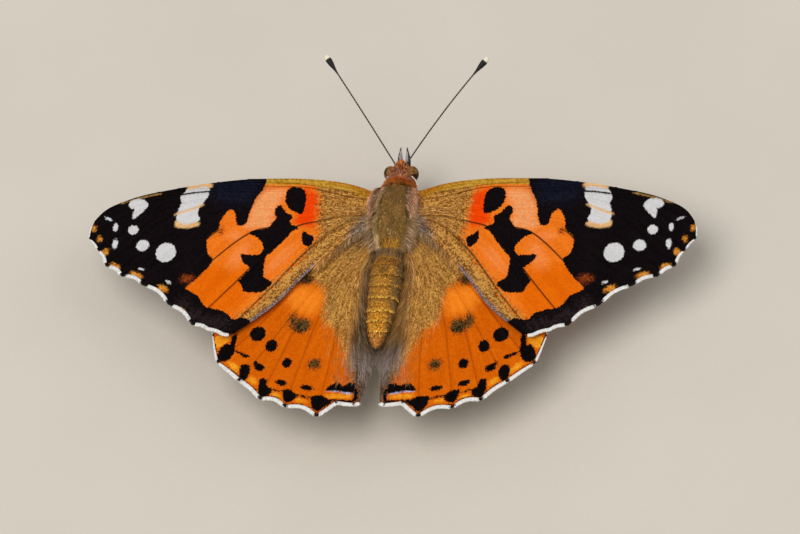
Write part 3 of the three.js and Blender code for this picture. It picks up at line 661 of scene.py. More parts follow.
ROOT_GREY = [(2, -1), (3.4, -2), (4.3, -3.6), (4, -5), (2.8, -5.2), (1.8, -4)]
# Painted sheen: a faint blue reflection painted over the black near the costa
PAINTED_BLUE_SHEEN = [(14.5, 2.8), (19, 2.8), (18.8, 1.2), (17, 0.2), (15, 0.6)]
ORANGE_EDGE = [(15, -7.5), (17.5, -6.8), (19.5, -7), (19.5, -9), (21, -10), (17, -13), (14, -11),
               (14.5, -7)]


def forewing_upper(places, margin, inner):
    """Depths in each marking of the forewing's upper face."""
    black = areas(places, CELL_SPOT, CELL_BLOTCH, APEX, CENTRAL_BAND, ROOT_BLOTCH)
    return {
        "black": black,
        "white": np.maximum(areas(places, COSTAL_BAR, NEAR_APEX), spots(places, WHITE_SPOTS)),
        "amber": spots(places, AMBER_SPOTS),
        "rust": spots(places, RUST_SPOTS),
        "brown": areas(places, ROOT_BROWN),
        "gold": areas(places, COSTAL_GOLD),
        "bronze": areas(places, COSTAL_BRONZE),
        "rim": np.minimum(0.32 - inner, ramp(places[:, 0], 6.5, 9) - 0.4),
        "pale": areas(places, SALMON_PATCH),
        "red": areas(places, RED_PATCH),
        "umber": np.minimum(areas(places, UMBER), black - 0.2),
        "cream": areas(places, *BAR_VEINS),
        "line": areas(places, BAR_LINE),
        "edge": areas(places, COSTAL_RUST),
        "blush": spots(places, BLUSH),
        "grey": areas(places, ROOT_GREY),
        "painted_blue_sheen": areas(places, PAINTED_BLUE_SHEEN),
        "bright": areas(places, ORANGE_EDGE),
    }


# Outlines of the hind wing's markings
HIND_BROWN = [(0, 1), (10, -2), (12, -7), (8.5, -8.2), (6.8, -9.3), (6.1, -10), (6, -12),
              (5.8, -13.3), (4.6, -14.4), (3.7, -16.2), (2.9, -18), (2.2, -19.5), (1.9, -20.4),
              (0, -22), (-2, -20)]
HIND_GREY = [(2.6, -7), (2.4, -11), (2.3, -14), (2.2, -18), (1.9, -21.5), (1.0, -23), (-1, -20),
             (0, -7)]
HIND_PALE = [(6.2, -10), (7.5, -9.6), (9.5, -9.3), (9.9, -10.4), (9.5, -11.5), (8.5, -12.5),
             (6.8, -12.3)]
MARGIN_PATCHES = [
    [(4.5, -22.1), (4.9, -21.9), (5.9, -21.9), (6, -22.5), (5.6, -23.4), (5.1, -23.7), (4.5, -23.2),
     (3.8, -22.6)],
    [(7.5, -21.9), (8.1, -21.3), (9, -21.2), (8.9, -21.9), (8.6, -22.6), (7.8, -22.5)],
    [(10.1, -21.2), (10.7, -20.8), (10.8, -20.1), (11.5, -20), (11.6, -21.2), (11.2, -22.1),
     (10.5, -22)],
    [(12.9, -18.4), (13.6, -18.4), (13.75, -19.2), (13.5, -20.1), (13, -20.1), (12.65, -19.2)],
    [(14.5, -14.9), (15, -15.2), (15.1, -16.1), (15.6, -16), (16.2, -17), (16, -17.9), (15.2, -18),
     (14.6, -17.2), (14.5, -16.2)],
    [(1.7, -20.6), (2.4, -20.45), (2.9, -20.75), (3.5, -20.4), (4.2, -20.7), (4.6, -21.3),
     (3.6, -21.38), (2.6, -21.54), (1.75, -21.62)],
    [(1.7, -21.2), (1.75, -22.3), (2.6, -22.35), (4.1, -22.3), (4.1, -22.52), (1.5, -22.6),
     (1.4, -21.2)],
]
HIND_SPOTS = [[12.4, -14.9, 0.8, 0.84, 0], [10.85, -16.22, 0.6, 0.7, 0],
              [9.0, -18.18, 0.5, 0.58, 0], [13.85, -17.15, 0.75, 0.16, 28],
              [13.3, -17.42, 0.36, 0.22, 0], [11.75, -18.68, 0.58, 0.4, 22],
              [12.15, -18.25, 0.34, 0.22, 50], [9.3, -20.42, 0.62, 0.34, 20],
              [6.55, -21.0, 0.7, 0.3, 12], [6.8, -22.0, 0.85, 0.12, 15],
              [9.7, -21.3, 0.6, 0.08, 20]]
SMUDGES = [[6.15, -18.3, 0.6, 0.6, 0], [8.0, -13.95, 0.85, 0.85, 0], [8.95, -13.4, 0.45, 0.8, 0],
           [8.2, -8.6, 0.8, 0.6, 0]]
LILAC = [[3.8, -21.4, 0.5, 0.07, 0], [2.5, -21.58, 0.5, 0.09, 8]]
LUNULES = [[14.4, -18.6, 0.8, 0.3, 42], [12.25, -20.2, 0.55, 0.3, 42], [9.65, -21.85, 0.5, 0.2, 18],
           [7.0, -22.45, 0.5, 0.18, 15], [3.2, -21.95, 1.15, 0.26, 2]]
YELLOW_CORNER = [(15.2, -15), (16, -14.9), (16.8, -15.4), (16.7, -16.5), (16.1, -16.3),
                 (15.4, -15.8)]
OUTER_BAND = [(17, -14), (15, -16), (13, -18), (11, -20), (8.5, -21.2), (5, -21.5), (1.5, -21.5),
              (1.5, -24), (6, -26), (19, -20)]


def hindwing_upper(places, margin, inner):
    """Depths in each marking of the hind wing's upper face."""
    return {
        "black": np.maximum(np.maximum(areas(places, *MARGIN_PATCHES), spots(places, HIND_SPOTS)),
                            0.08 - margin),
        "white": spots(places, LILAC),
        "rust": np.maximum(areas(places, YELLOW_CORNER), spots(places, LUNULES)),
        "brown": areas(places, HIND_BROWN),
        "gold": areas(places, HIND_GREY),
        "pale": areas(places, HIND_PALE),
        "red": spots(places, SMUDGES),
        "bright": areas(places, OUTER_BAND),
    }


TIP_BROWN = [(24, 3), (29, 1), (32, -3), (31, -6), (27, -9), (26, -6), (28.5, -3), (25, -0.5)]


def forewing_lower(places, margin, inner):
    """Depths in each marking of the forewing's lower face: the upper's, with a brown tip and
    without the brown root."""
    marks = forewing_upper(places, margin, inner)
    marks["brown"] = areas(places, TIP_BROWN)
    marks["black"] = np.minimum(marks["black"] - 0.15, -marks["brown"])
    return marks


EYESPOTS = [[12.4, -14.8, 1.0, 1.0, 0], [10.9, -16.4, 0.62, 0.62, 0], [9.0, -18.2, 0.55, 0.55, 0],
            [6.1, -18.6, 1.05, 1.05, 0], [14.2, -12.6, 0.5, 0.5, 0]]
PALE_BAND = [(5, -6), (10, -8.5), (13.5, -11.5), (12.5, -12.8), (9, -10.5), (5.2, -8)]


def hindwing_lower(places, margin, inner):
    """Depths in the marbled lower face: a row of eyespots, a pale band and a lilac edge line."""
    eyes = spots(places, EYESPOTS)
    return {
        "black": np.minimum(eyes + 0.12, 0.02 - eyes).clip(-FAR) + np.where(eyes > 0.45, 0.4, 0),
        "white": areas(places, PALE_BAND),
        "rust": eyes - 0.05,
        "gold": areas(places, HIND_GREY),
        "pale": margin - 0.9,
        "red": 0.25 - np.abs(margin - 0.75),
    }


# Scales to the millimetre
SCALES = 8.0


def wing_finish(name, ground, layers, clouds=0.25):
    """A mosaic of scales in a ground pair of colours and layers of more. A layer lies wherever its
    depth, shifted by each scale's own tone, is over nought, and each scale in it has one of two
    colours. The veins are a layer whose softness is how much they cover."""
    film = Finish(name)
    scales = film.cells(SCALES)
    tone, other = (film.node("ShaderNodeSeparateColor", {}, {"Color": scales}, part)
                   for part in ("Red", "Green"))
    lie = film.node("ShaderNodeUVMap", {"uv_map": "lie"})
    streak = film.noise(1.0, 3.0, lie)
    cloud = film.noise(0.7, 2.0)
    strand = film.noise(0.7, 5.0, lie)
    mixed = film.step(0.55 * other + 0.45 * streak + clouds * (cloud - 0.5) + 1.2 * (strand - 0.5),
                      0.25, 0.75)
    color = film.blend(mixed, tint(ground[0]), tint(ground[1]))
    for mark, dark, light, soft, ragged in layers:
        if mark == "vein":
            here = film.step(film.carried(mark), 0.12, 0.7) * soft
        else:
            here = film.step(film.carried(mark) + ragged * (tone - 0.5), -soft, soft)
        color = film.blend(here, color, film.blend(mixed, tint(dark), tint(light)))
    height = 0.45 * film.cells(SCALES, "Distance") + 0.35 * tone + 0.3 * streak
    return film.surface(color, 0.8, height, 0.01, Specular_IOR_Level=0.03)


forewing_top = wing_finish("forewing_upper_scales", ("e26a10", "ee7a1e"), [
    ("bright", "da5e00", "e66a04", 0.8, 0.8),
    ("pale", "e88c50", "f0a266", 0.6, 0.4),
    ("blush", "ea7a34", "f28a44", 0.5, 0.3),
    ("red", "e43a00", "f04604", 0.45, 0.5),
    ("vein", "5a2a08", "5a2a08", 0.85, 0),
    ("brown", "764619", "ce9446", 0.35, 1.0),
    ("vein", "4e2c10", "4e2c10", 0.55, 0),
    ("gold", "a27414", "cc9e3e", 0.2, 0.3),
    ("bronze", "925a10", "bc7c26", 0.5, 0.4),
    ("grey", "54443c", "94847a", 0.6, 0.8),
    ("rim", "4a3e40", "8a7a7c", 0.2, 0.3),
    ("black", "0a0506", "120b0c", 0.03, 0.14),
    ("umber", "120b0b", "2c2022", 0.6, 1.0),
    # Painted sheen over the black near the costa
    ("painted_blue_sheen", "0c0c16", "181a2a", 1.2, 0.4),
    ("rust", "5a200a", "9a4416", 0.3, 0.4),
    ("edge", "7a5a2c", "a07c40", 0.06, 0.1),
    ("amber", "b86c18", "e0943a", 0.12, 0.2),
    ("white", "c8c5c1", "d4d1cf", 0.06, 0.12),
    ("cream", "d8a468", "e8bc84", 0.16, 0.1),
    ("line", "140c08", "281a10", 0.05, 0.1),
])
forewing_under = wing_finish("forewing_lower_scales", ("d8784c", "e89468"), [
    ("bright", "d88048", "e09058", 0.8, 0.8),
    ("pale", "eeb090", "f4c4a4", 0.5, 0.5),
    ("red", "d65a38", "e07850", 0.35, 0.5),
    ("gold", "b89468", "d8bc90", 0.12, 0.3),
    ("black", "120c0a", "241a14", 0.03, 0.14),
    ("brown", "7c6844", "b8a480", 0.3, 0.5),
    ("white", "e0dcd0", "f0ece4", 0.04, 0.14),
    ("vein", "d8c8a0", "d8c8a0", 0.6, 0),
])
hindwing_top = wing_finish("hindwing_upper_scales", ("c85600", "d86404"), [
    ("bright", "cc5a00", "da6604", 0.5, 0.6),
    ("vein", "8a3c02", "8a3c02", 0.4, 0),
    ("pale", "ea7a12", "f48822", 0.9, 0.4),
    ("brown", "80541f", "d09848", 0.45, 0.7),
    ("gold", "3c2c1e", "6e5642", 0.7, 0.6),
    ("red", "1a140c", "5e4520", 0.3, 0.45),
    ("rust", "e48a12", "f4a02a", 0.15, 0.2),
    ("black", "060404", "100a08", 0.05, 0.16),
    ("white", "9090b0", "c8c8de", 0.08, 0.1),
])
hindwing_under = wing_finish("hindwing_lower_scales", ("6e5a3c", "a89068"), [
    ("pale", "80683f", "c4b088", 0.4, 0.8),
    ("white", "c8bc9c", "e8e0cc", 0.3, 0.9),
    ("red", "8c88a4", "b4b0c4", 0.06, 0.1),
    ("gold", "948468", "c4b698", 0.5, 0.6),
    ("rust", "c8a050", "dcc078", 0.05, 0.08),
    ("black", "14100c", "2a2016", 0.04, 0.08),
    ("vein", "e8dcc0", "e8dcc0", 0.75, 0),
], 0.9)


VIEW_SLOPE = 0.577
# The lie's units along and across the veins, for streaks that run with them
LIE_ALONG, LIE_ACROSS = 0.35, 5
SPREAD_VEIN, SPREAD_REACH = 9.3, 2.2
PITCH = 0.16


def both_wings(name, veins, height, rows, upper, lower, finishes, spread=0.0):
    """A pair of wings from one net: markings are worked out on the right wing and mirrored, at
    flat places shifted ahead by the height times the slope at which the outlines were seen. The
    right margin is spread by so much beyond the left one about the tenth vein."""
    middle, columns, relief = wing_net(veins, height, rows, PITCH)
    thick = (FILM_HALF + VEIN_RISE * relief)[..., None] * UP
    places = np.stack([middle[..., 0], middle[..., 1] + VIEW_SLOPE * middle[..., 2]], -1)
    shares = np.repeat(np.linspace(0, 1, rows + 1), len(columns))
    length = np.tile(np.linalg.norm(middle[-1] - middle[0], axis=1), rows + 1)
    margin = (1 - shares) * length
    inner = np.linalg.norm(middle - middle[:, -1:], axis=2).ravel()
    above, below = (face(places.reshape(-1, 2), margin, inner) for face in (upper, lower))
    numbers = {key: np.concatenate([above[key], below.get(key, above[key])]) for key in above}
    numbers["vein"] = np.tile(relief.ravel(), 2)
    lie = np.stack([LIE_ALONG * shares * length, LIE_ACROSS * np.tile(columns, rows + 1)], -1)
    faces = plate_faces(rows + 1, len(columns))
    kinds = np.repeat([0, 1, 0], [len(part) for part in faces])
    further = (np.linspace(0, 1, rows + 1)[:, None] ** 10
               * np.exp(-((columns - SPREAD_VEIN) / SPREAD_REACH) ** 2))
    nets = {"left": middle, "right": middle + spread * further[..., None] * [1, 0, 0]}
    for side, sign in SIDES:
        points = np.concatenate([nets[side] + thick, nets[side] - thick]).reshape(-1, 3)
        wing = piece_of(f"{name}_skin_{side}", points * [sign, 1, 1], faces, finishes, numbers,
                        maps={"lie": np.tile(lie, (2, 1))})
        wing.data.polygons.foreach_set("material_index", kinds)
        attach(wing, "root")
        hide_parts(f"{name}_{side}")
    return nets, columns


FOREWING_ROWS, HINDWING_ROWS = 150, 140
forewing_nets, forewing_columns = both_wings(
    "forewing", FOREWING_VEINS, FOREWING_HEIGHT, FOREWING_ROWS, forewing_upper, forewing_lower,
    [forewing_top, forewing_under], spread=0.6)
hindwing_nets, hindwing_columns = both_wings(
    "hindwing", HINDWING_VEINS, HINDWING_HEIGHT, HINDWING_ROWS, hindwing_upper, hindwing_lower,
    [hindwing_top, hindwing_under])


# The fringes of the wings
# Narrow scales stand side by side along the outer margins, white in the middle of each space and
# black at the veins' ends. They are rooted on the film's edge and finish the scalloped outline.

def unit(vectors):
    """Vectors brought to a length of one."""
    return vectors / np.maximum(np.linalg.norm(vectors, axis=-1, keepdims=True), 1e-9)


# How deep a hair is rooted, how far it strays to the side, and half the patch it is baked on
ROOT_DEPTH, STRAY, PATCH_HALF = 0.04, 0.12, 0.0015


def coat_of(name, finish, roots, lie, out, patch, color, length, width, lift=0.2, bend=0.2,
            roll=0.4, seed=1):
    """Flat pointed hairs or scales as one mesh. Each starts a little under the surface at its root
    and runs along the lie, rising by the lift angle and falling back by the bend times the square
    of the way: two points at the root, two half way and one at the tip. Its flat side is turned
    about the lie by a random roll, and its patch is where the root lies on the surface's unwrap."""
    random = np.random.default_rng([seed, 1])
    count = len(roots)
    lie, out = unit(lie), unit(out)
    turn = random.normal(0, roll, count)[:, None]
    side = unit(np.cross(lie, out))
    side = side * np.cos(turn) + out * np.sin(turn)
    length = (length * random.uniform(0.7, 1.15, count))[:, None]
    half = 0.5 * (width * random.uniform(0.8, 1.25, count))[:, None]
    rise = (lift * random.uniform(0.5, 1.5, count))[:, None]
    lie = unit(lie + STRAY * random.normal(0, 1, (count, 1)) * side)

    def centre(share):
        way = np.cos(rise) * lie + np.sin(rise) * out
        return roots - ROOT_DEPTH * out + length * share * way - length * bend * share ** 2 * out

    base, middle, tip = centre(0), centre(0.5), centre(1)
    points = np.stack([base - half * side, base + half * side, middle - half * side,
                       middle + half * side, tip], 1).reshape(-1, 3)
    first = 5 * np.arange(count)[:, None]
    faces = [first + [0, 1, 3, 2], first + [2, 3, 4]]
    spread = PATCH_HALF * np.array([[-1, -1], [1, -1], [-1, 0], [1, 0], [0, 1]])
    return piece_of(name, points, faces, finish, {
        "tone": np.repeat(random.random(count), 5), "tip": np.tile([0, 0, 0.55, 0.55, 1], count)},
        np.repeat(color, 5, axis=0), {"OFBake": (patch[:, None] + spread).reshape(-1, 2)},
        closed=False)


def either(here, first, second):
    """The first of two colours at the points that are here, and the second elsewhere."""
    return np.where(here[:, None], tint(first, False), tint(second, False))


def mirrored_roots(sign, *vectors):
    """The same places or directions on the other side where sign is -1."""
    return [part * [sign, 1, 1] for part in vectors]


fringe_finish = coat_finish("fringe_scales", 0.8, 0.0, 0.25)
# The forewing's fringe is white throughout past this place, counted in veins
ALL_WHITE = 12.55


def fringe(name, nets, columns, count, first, last, white_half, length, seed):
    """A fringe on both wings of a pair: roots evenly along the margin between two veins, white
    where the place between its two veins is within white_half of the middle."""
    for side, sign in SIDES:
        random = np.random.default_rng(seed)
        keep = (columns >= first) & (columns <= last)
        edge = nets[side][-1][keep]
        run = run_along(edge)
        at = np.sort(random.random(count)) * run[-1]
        along = unit(at_run(at + 0.25, run, edge) - at_run(at - 0.25, run, edge))
        place = np.interp(at, run, columns[keep])
        lie = np.cross(along, UP) * [1, 1, 0]
        lie = lie * np.sign((lie * (edge.mean(0) - nets[side][0].mean(0))).sum(1))[:, None]
        ragged = random.normal(0, 0.02, count)
        white = (np.abs(place % 1 - 0.5) + ragged < white_half) | (place > ALL_WHITE)
        height = random.uniform(-0.05, 0.05, count)[:, None]
        roots = at_run(at, run, edge) + UP * height - 0.1 * lie
        long = length * np.where(white, 1, 0.75) * (0.45 + 0.55 * ramp(at, 1, 6))
        scales = coat_of(f"{name}_fringe_{side}", fringe_finish,
                         *mirrored_roots(sign, roots, lie, UP),
                         np.stack([0.02 + 0.96 * at / run[-1], np.full(count, 0.5)], -1),
                         either(white, "e6e3dd", "16110f"), long, 0.08, lift=0.05, bend=0.0,
                         roll=0.3, seed=seed)
        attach(scales, "root")


fringe("forewing", forewing_nets, forewing_columns, 4800, first=5.3, last=14.5, white_half=0.36,
       length=0.48, seed=11)
fringe("hindwing", hindwing_nets, hindwing_columns, 5200, first=0.4, last=9, white_half=0.43,
       length=0.5, seed=12)


# The hair at the wings' roots
# Long hair-like scales grow outwards over the roots of all four wings and along the hind wings'
# inner margins, where they close the gutter in which the abdomen lies.

def on_net(net, rows, columns):
    """Places on a net at row and column counts that need not be whole, and the way outwards."""
    row, column = np.floor(rows).astype(int), np.floor(columns).astype(int)
    u, v = (rows - row)[:, None], (columns - column)[:, None]
    near = net[row, column] * (1 - v) + net[row, column + 1] * v
    far = net[row + 1, column] * (1 - v) + net[row + 1, column + 1] * v
    return near * (1 - u) + far * u, unit(far - near)


def strand_tone(vein, tones, random):
    """One of four colours from dark to light, in strands along the veins: a sine across them."""
    strand = (0.5 + 0.35 * np.sin(31 * vein + 4 * np.sin(5 * vein))
              + random.normal(0, 0.22, len(vein)))
    return at_run(3 * strand, range(4), np.array([tint(code, False) for code in tones]))


def wing_hair(name, net, columns, count, veins, reach, long_from, length, width, tones,
              lining, lined, lift, inward, seed):
    """Hair on a pair of wings between two veins, from the root to a share of their length that
    falls off before the vein long_from towards the first one, leaning inwards a little. Lining is
    a second set of tones, and lined gives the share of it by vein and share of the way out; the
    two lengths go by that share too."""
    random = np.random.default_rng(seed)
    rows, across = len(net) - 1, len(columns) - 1
    vein = random.uniform(veins[0], veins[1], count)
    far = reach[0] + (reach[1] - reach[0]) * (0.35 + 0.65 * ramp(vein, veins[0], long_from) ** 1.2)
    share = reach[0] + random.random(count) ** 1.25 * (far - reach[0])
    places, lie = on_net(net, share * rows * 0.999,
                         np.interp(vein, columns, np.arange(across + 1)) * 0.999)
    inner = np.asarray(lined(vein, share))
    lie = lie + (inner * ramp(share, 0.8, 0.5))[:, None] * inward
    color = over(strand_tone(vein, tones, random), "c87a26", 0.75 * ramp(share, 0.38, 0.6))
    within = over(strand_tone(vein, lining, random), "a08e84", 0.75 * ramp(share, 0.55, 0.72))
    color = color * (1 - inner[:, None]) + within * inner[:, None]
    patch = np.stack([0.02 + 0.9 * share, 0.02 + 0.96 * vein / columns[-1]], -1)
    long = length[0] + (length[1] - length[0]) * inner
    long = long * (1 - 0.6 * inner * ramp(share, 0.5, 0.8))
    # Painted light: on the right wing only, lining hair is mixed half way to the second tone near
    # the root, fading out by 0.6 of the way out; the left keeps its darker lining as painted shade
    right_lining_painted_light = inner * 0.5 * ramp(share, 0.6, 0.45)
    for side, sign in SIDES:
        hair = coat_of(f"{name}_{side}", hair_finish,
                       *mirrored_roots(sign, places + 0.05 * UP, lie, UP), patch,
                       over(color, tones[1], right_lining_painted_light * (sign > 0)), long, width, lift, bend=0.08,
                       roll=0.5, seed=seed)
        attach(hair, "root")


hair_finish = coat_finish("body_hair", 0.85, 0.05)
HIND_TONES = ("8a5820", "bc8234", "d69e52", "e2b26e")
wing_hair("forewing_hair", forewing_nets["left"], forewing_columns, 8000,
          veins=(6, 14.95), reach=(0.01, 0.26), long_from=12, length=(0.75, 0.9), width=0.035,
          tones=("5e3816", "a06a2c", "d09a50", "e4b470"),
          lining=("4c3e34", "6e5e50", "8a7864", "a8906c"),
          lined=lambda vein, share: ramp(vein, 11, 13.5) * ramp(share, 0.2, 0.08),
          lift=0.08, inward=[-0.05, 0, 0], seed=21)
wing_hair("hindwing_hair", hindwing_nets["left"], hindwing_columns, 17000,
          veins=(4.4, 9.95), reach=(0.02, 0.86), long_from=6.6, length=(1.2, 2.4), width=0.034,
          tones=HIND_TONES, lining=("302216", "523c28", "765c3e", "9c8260"),
          lined=lambda vein, share: ramp(vein + 0.8 * ramp(share, 0.3, 0.55), 7.3, 8.4),
          lift=0.07, inward=[-0.25, 0, 0.1], seed=22)
wing_hair("hindwing_front_hair", hindwing_nets["left"], hindwing_columns, 6000,
          veins=(0.3, 5), reach=(0.01, 0.36), long_from=4,
          length=(0.9, 0.9), width=0.034, tones=HIND_TONES,
          lining=("4c3c2c", "6e5a46", "8a7454", "a88c64"),
          lined=lambda vein, share: ramp(share, 0.16, 0.06),
          lift=0.1, inward=[0, 0, 0.05], seed=24)

# From the forewings' inner margins hair lies over the hind wings and hides the gap at the roots
HANGING = 4500
random = np.random.default_rng(23)
share = 0.01 + 0.38 * random.random(HANGING) ** 1.2
margin_roots, margin_way = on_net(forewing_nets["left"], share * (FOREWING_ROWS - 1),
                                  len(forewing_columns) - 1.2 - 6 * random.random(HANGING) ** 2)
aside = np.cross(margin_way, UP) * [1, 1, 0]
margin_lie = margin_way + random.uniform(0.1, 1.2, (HANGING, 1)) * aside
margin_lie = margin_lie - random.uniform(0, 0.5, (HANGING, 1)) * UP
grey = (ramp(share, 0.3, 0.12) * (random.random(HANGING) < 0.7))[:, None]
gold_tone = strand_tone(12 * share, ("7a4a1e", "aa7432", "c88e48", "d8a664"), random)
grey_tone = strand_tone(12 * share, ("42362c", "66564a", "84745e", "a08c70"), random)
margin_color = gold_tone * (1 - grey) + grey_tone * grey
for side, sign in SIDES:
    hanging = coat_of(f"inner_margin_hair_{side}", hair_finish,
                      *mirrored_roots(sign, margin_roots, margin_lie, UP),
                      np.stack([0.02 + 0.9 * share, np.full(HANGING, 0.98)], -1), margin_color,
                      1.1, 0.034, lift=0.1, bend=0.1, roll=0.5, seed=23)
    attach(hanging, "root")


# The coat of the body
# Long soft hair on thorax, collar and head, short flat scales on the abdomen, all rooted in the
# skin and lying backwards; each hair takes the skin's own colour at its root.

def on_trunk(count, front, rear, turns, seed):
    """Random places on the skin between two stations and two turns, evenly by its area: stations
    by the running sum of the section's width. Gives places, ways back and out, and patches."""
    random = np.random.default_rng(seed)
    stations = np.linspace(front, rear, 200)
    run = np.cumsum(between(TRUNK, stations)[:, 1])
    ahead = np.interp(random.random(count) * run[-1], run, stations)
    turn = random.uniform(turns[0], turns[1], count)
    places = trunk_skin(ahead, turn)
    back = unit(trunk_skin(ahead - 0.03, turn) - trunk_skin(ahead + 0.03, turn))
    round_way = unit(trunk_skin(ahead, turn + 0.003) - trunk_skin(ahead, turn - 0.003))
    patch = np.stack([0.02 + 0.96 * (turn % 1), 0.02 + 0.044 * (TRUNK[0][0] - ahead)], -1)
    return places, back, unit(np.cross(round_way, back)), patch


def trunk_coat(name, count, stations, turns, size, rise, seed, way=None, roll=0.5, others=()):
    """A region of the trunk's coat between two stations and two turns: size is length and width,
    rise is lift and bend, way gives another lie than straight back, and others are pairs of a
    further colour and the share of hairs that have it."""
    places, back, out, patch = on_trunk(count, *stations, turns, seed)
    lie = back if way is None else way(places, back, out)
    random = np.random.default_rng([seed, 2])
    color = trunk_tint(places)
    for code, share in others:
        color = over(color, code, random.random(count) < share)
    coat = coat_of(name, hair_finish, places, lie, out, patch, color, *size, *rise, roll, seed)
    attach(coat, "root")


def fanned(places, back, out):
    """Back, outwards where the flanks are, and swaying in slow waves."""
    x, y = places[:, :1], places[:, 1:2]
    sway = 0.4 * np.sin(2.4 * y + 1.5 * x) + 0.25 * np.sin(4.1 * x - 1.3 * y)
    return back + (0.45 * np.sign(x) * ramp(np.abs(x), 0.8, 2) + sway) * [[1, 0, 0]]


trunk_coat("thorax_hair", 26000, (2.3, -4.9), (0.2, 0.8), (0.45, 0.036), (0.35, 0.2), 31, fanned,
           others=(("c8a878", 0.06), ("5a4020", 0.08)))
for side, turns in (("one", (0.25, 0.36)), ("other", (0.64, 0.75))):
    trunk_coat(f"flank_hair_{side}", 2600, (1.9, -4.8), turns, (1.1, 0.036), (0.3, 0.25), 40,
               lambda places, back, out: back + 0.7 * out + [1, 0, 0] * np.where(
                   places > 0, 0.6, 0.25) * places,
               others=(("e8b486", 0.25), ("f6dfc0", 0.12), ("80684a", 0.2)))
trunk_coat("thorax_belly_hair", 7000, (2.5, -4.9), (-0.2, 0.2), (0.8, 0.06), (0.3, 0.15), 32)
trunk_coat("thorax_tuft", 1300, (-4.2, -4.85), (0.4, 0.6), (0.6, 0.045), (0.45, 0.4), 33,
           others=(("dca84c", 0.2), ("5e4420", 0.3)))
trunk_coat("collar_hair", 5500, (3.25, 2.15), (0.1, 0.9), (0.55, 0.045), (0.25, 0.2), 34,
           lambda places, back, out: 0.4 * back + 0.6 * out + 0.5 * places * [1, 0, 0],
           others=(("e89a58", 0.25), ("8a4a20", 0.15)))
trunk_coat("abdomen_scales", 17000, (-5.9, -16.35), (0.0, 1.0), (0.28, 0.13), (0.3, 0.08), 35,
           roll=0.15, others=(("5c4020", 0.18), ("eaae48", 0.1)))
trunk_coat("waist_hair", 2200, (-5.1, -6.8), (0.25, 0.75), (0.7, 0.04), (0.2, 0.1), 36,
           others=(("4a3420", 0.25),))
trunk_coat("crown_hair", 4200, (4.75, 3.25), (0.2, 0.8), (0.6, 0.04), (0.3, 0.1), 37,
           lambda places, back, out: back + 2.6 * places * [1, 0, 0],
           others=(("e09a58", 0.12), ("b09696", 0.2), ("3e2414", 0.2)))
trunk_coat("brow_tuft", 900, (5.15, 4.1), (0.4, 0.6), (0.75, 0.05), (0.2, 0.0), 38,
           lambda places, back, out: 0.2 * out - back - 0.7 * places * [1, 0, 0],
           others=(("5a3018", 0.35), ("d88c50", 0.15)))
trunk_coat("face_hair", 1800, (5.3, 3.6), (-0.36, 0.36), (0.36, 0.05), (0.3, 0.1), 39,
           lambda places, back, out: 0.3 * out - back - 0.3 * places * [1, 0, 0])


# The flaps over the wing roots
# A small horny shield hinged at the front of each forewing's root, thickly haired like the flank.

FLAP_ROWS, FLAP_COLUMNS, FLAP_HAIRS = 25, 17, 1500
FLAP_FRONT, FLAP_LENGTH, FLAP_TURN, FLAP_HALF_TURN = 1.9, 3.2, 44, 15


def flap_net(lift):
    """A curved shield: a patch of the thorax's section between two turns that close together at
    its ends, raised off the skin by the lift in the middle and less at the rim."""
    rows, across = np.meshgrid(np.linspace(0, 1, FLAP_ROWS), np.linspace(-1, 1, FLAP_COLUMNS),
                               indexing="ij")
    ahead = FLAP_FRONT - FLAP_LENGTH * rows
    middle, wide, high = np.moveaxis(between(TRUNK, ahead), -1, 0)
    spread = np.sin(np.pi * (0.06 + 0.88 * rows)) ** 0.6
    angle = np.radians(FLAP_TURN - FLAP_HALF_TURN * spread * across)
    rise = lift * (1 - 0.9 * np.abs(across) ** 3) * np.sin(np.pi * (0.1 + 0.8 * rows)) ** 0.5
    return np.stack([(wide + rise) * np.cos(angle), ahead,
                     middle + (high + rise) * np.sin(angle)], -1)


flap_upper, flap_lower = flap_net(0.55), flap_net(0.2)
for side, sign in SIDES:
    flap_points = np.concatenate([flap_upper, flap_lower]).reshape(-1, 3) * [sign, 1, 1]
    flap = piece_of(f"root_flap_{side}", flap_points, plate_faces(FLAP_ROWS, FLAP_COLUMNS),
                    skin_finish, color=trunk_tint(flap_points))
    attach(flap, "root")
    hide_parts(f"tegula_{side}")
    random = np.random.default_rng(41)
    row, column = (random.uniform(0, most - 1.1, FLAP_HAIRS) for most in (FLAP_ROWS, FLAP_COLUMNS))
    flap_roots, flap_back = on_net(flap_upper, row, column)
    flap_out = unit(flap_roots - [0, 0, -1] - [0, 1, 0] * flap_roots)
    flap_color = layered(trunk_tint(flap_roots), ("5c4430", 0.7 * ramp(column, 7, 3)),
                         ("eeb48c", random.random(FLAP_HAIRS) < 0.5),
                         ("8c6c50", random.random(FLAP_HAIRS) < 0.2))
    flap_coat = coat_of(f"root_flap_hair_{side}", hair_finish,
                        *mirrored_roots(sign, flap_roots, flap_back + [0.45, 0, 0], flap_out),
                        np.stack([0.02 + 0.04 * row, 0.02 + 0.06 * column], -1), flap_color,
                        0.9, 0.036, lift=0.4, bend=0.2, roll=0.6, seed=42)
    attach(flap_coat, "root")


# The eyes
# Each is a smooth bulging cornea of thousands of hexagonal facets, dull brown with darker blots,
# set in the side of the head with a rim of pale hair behind it.

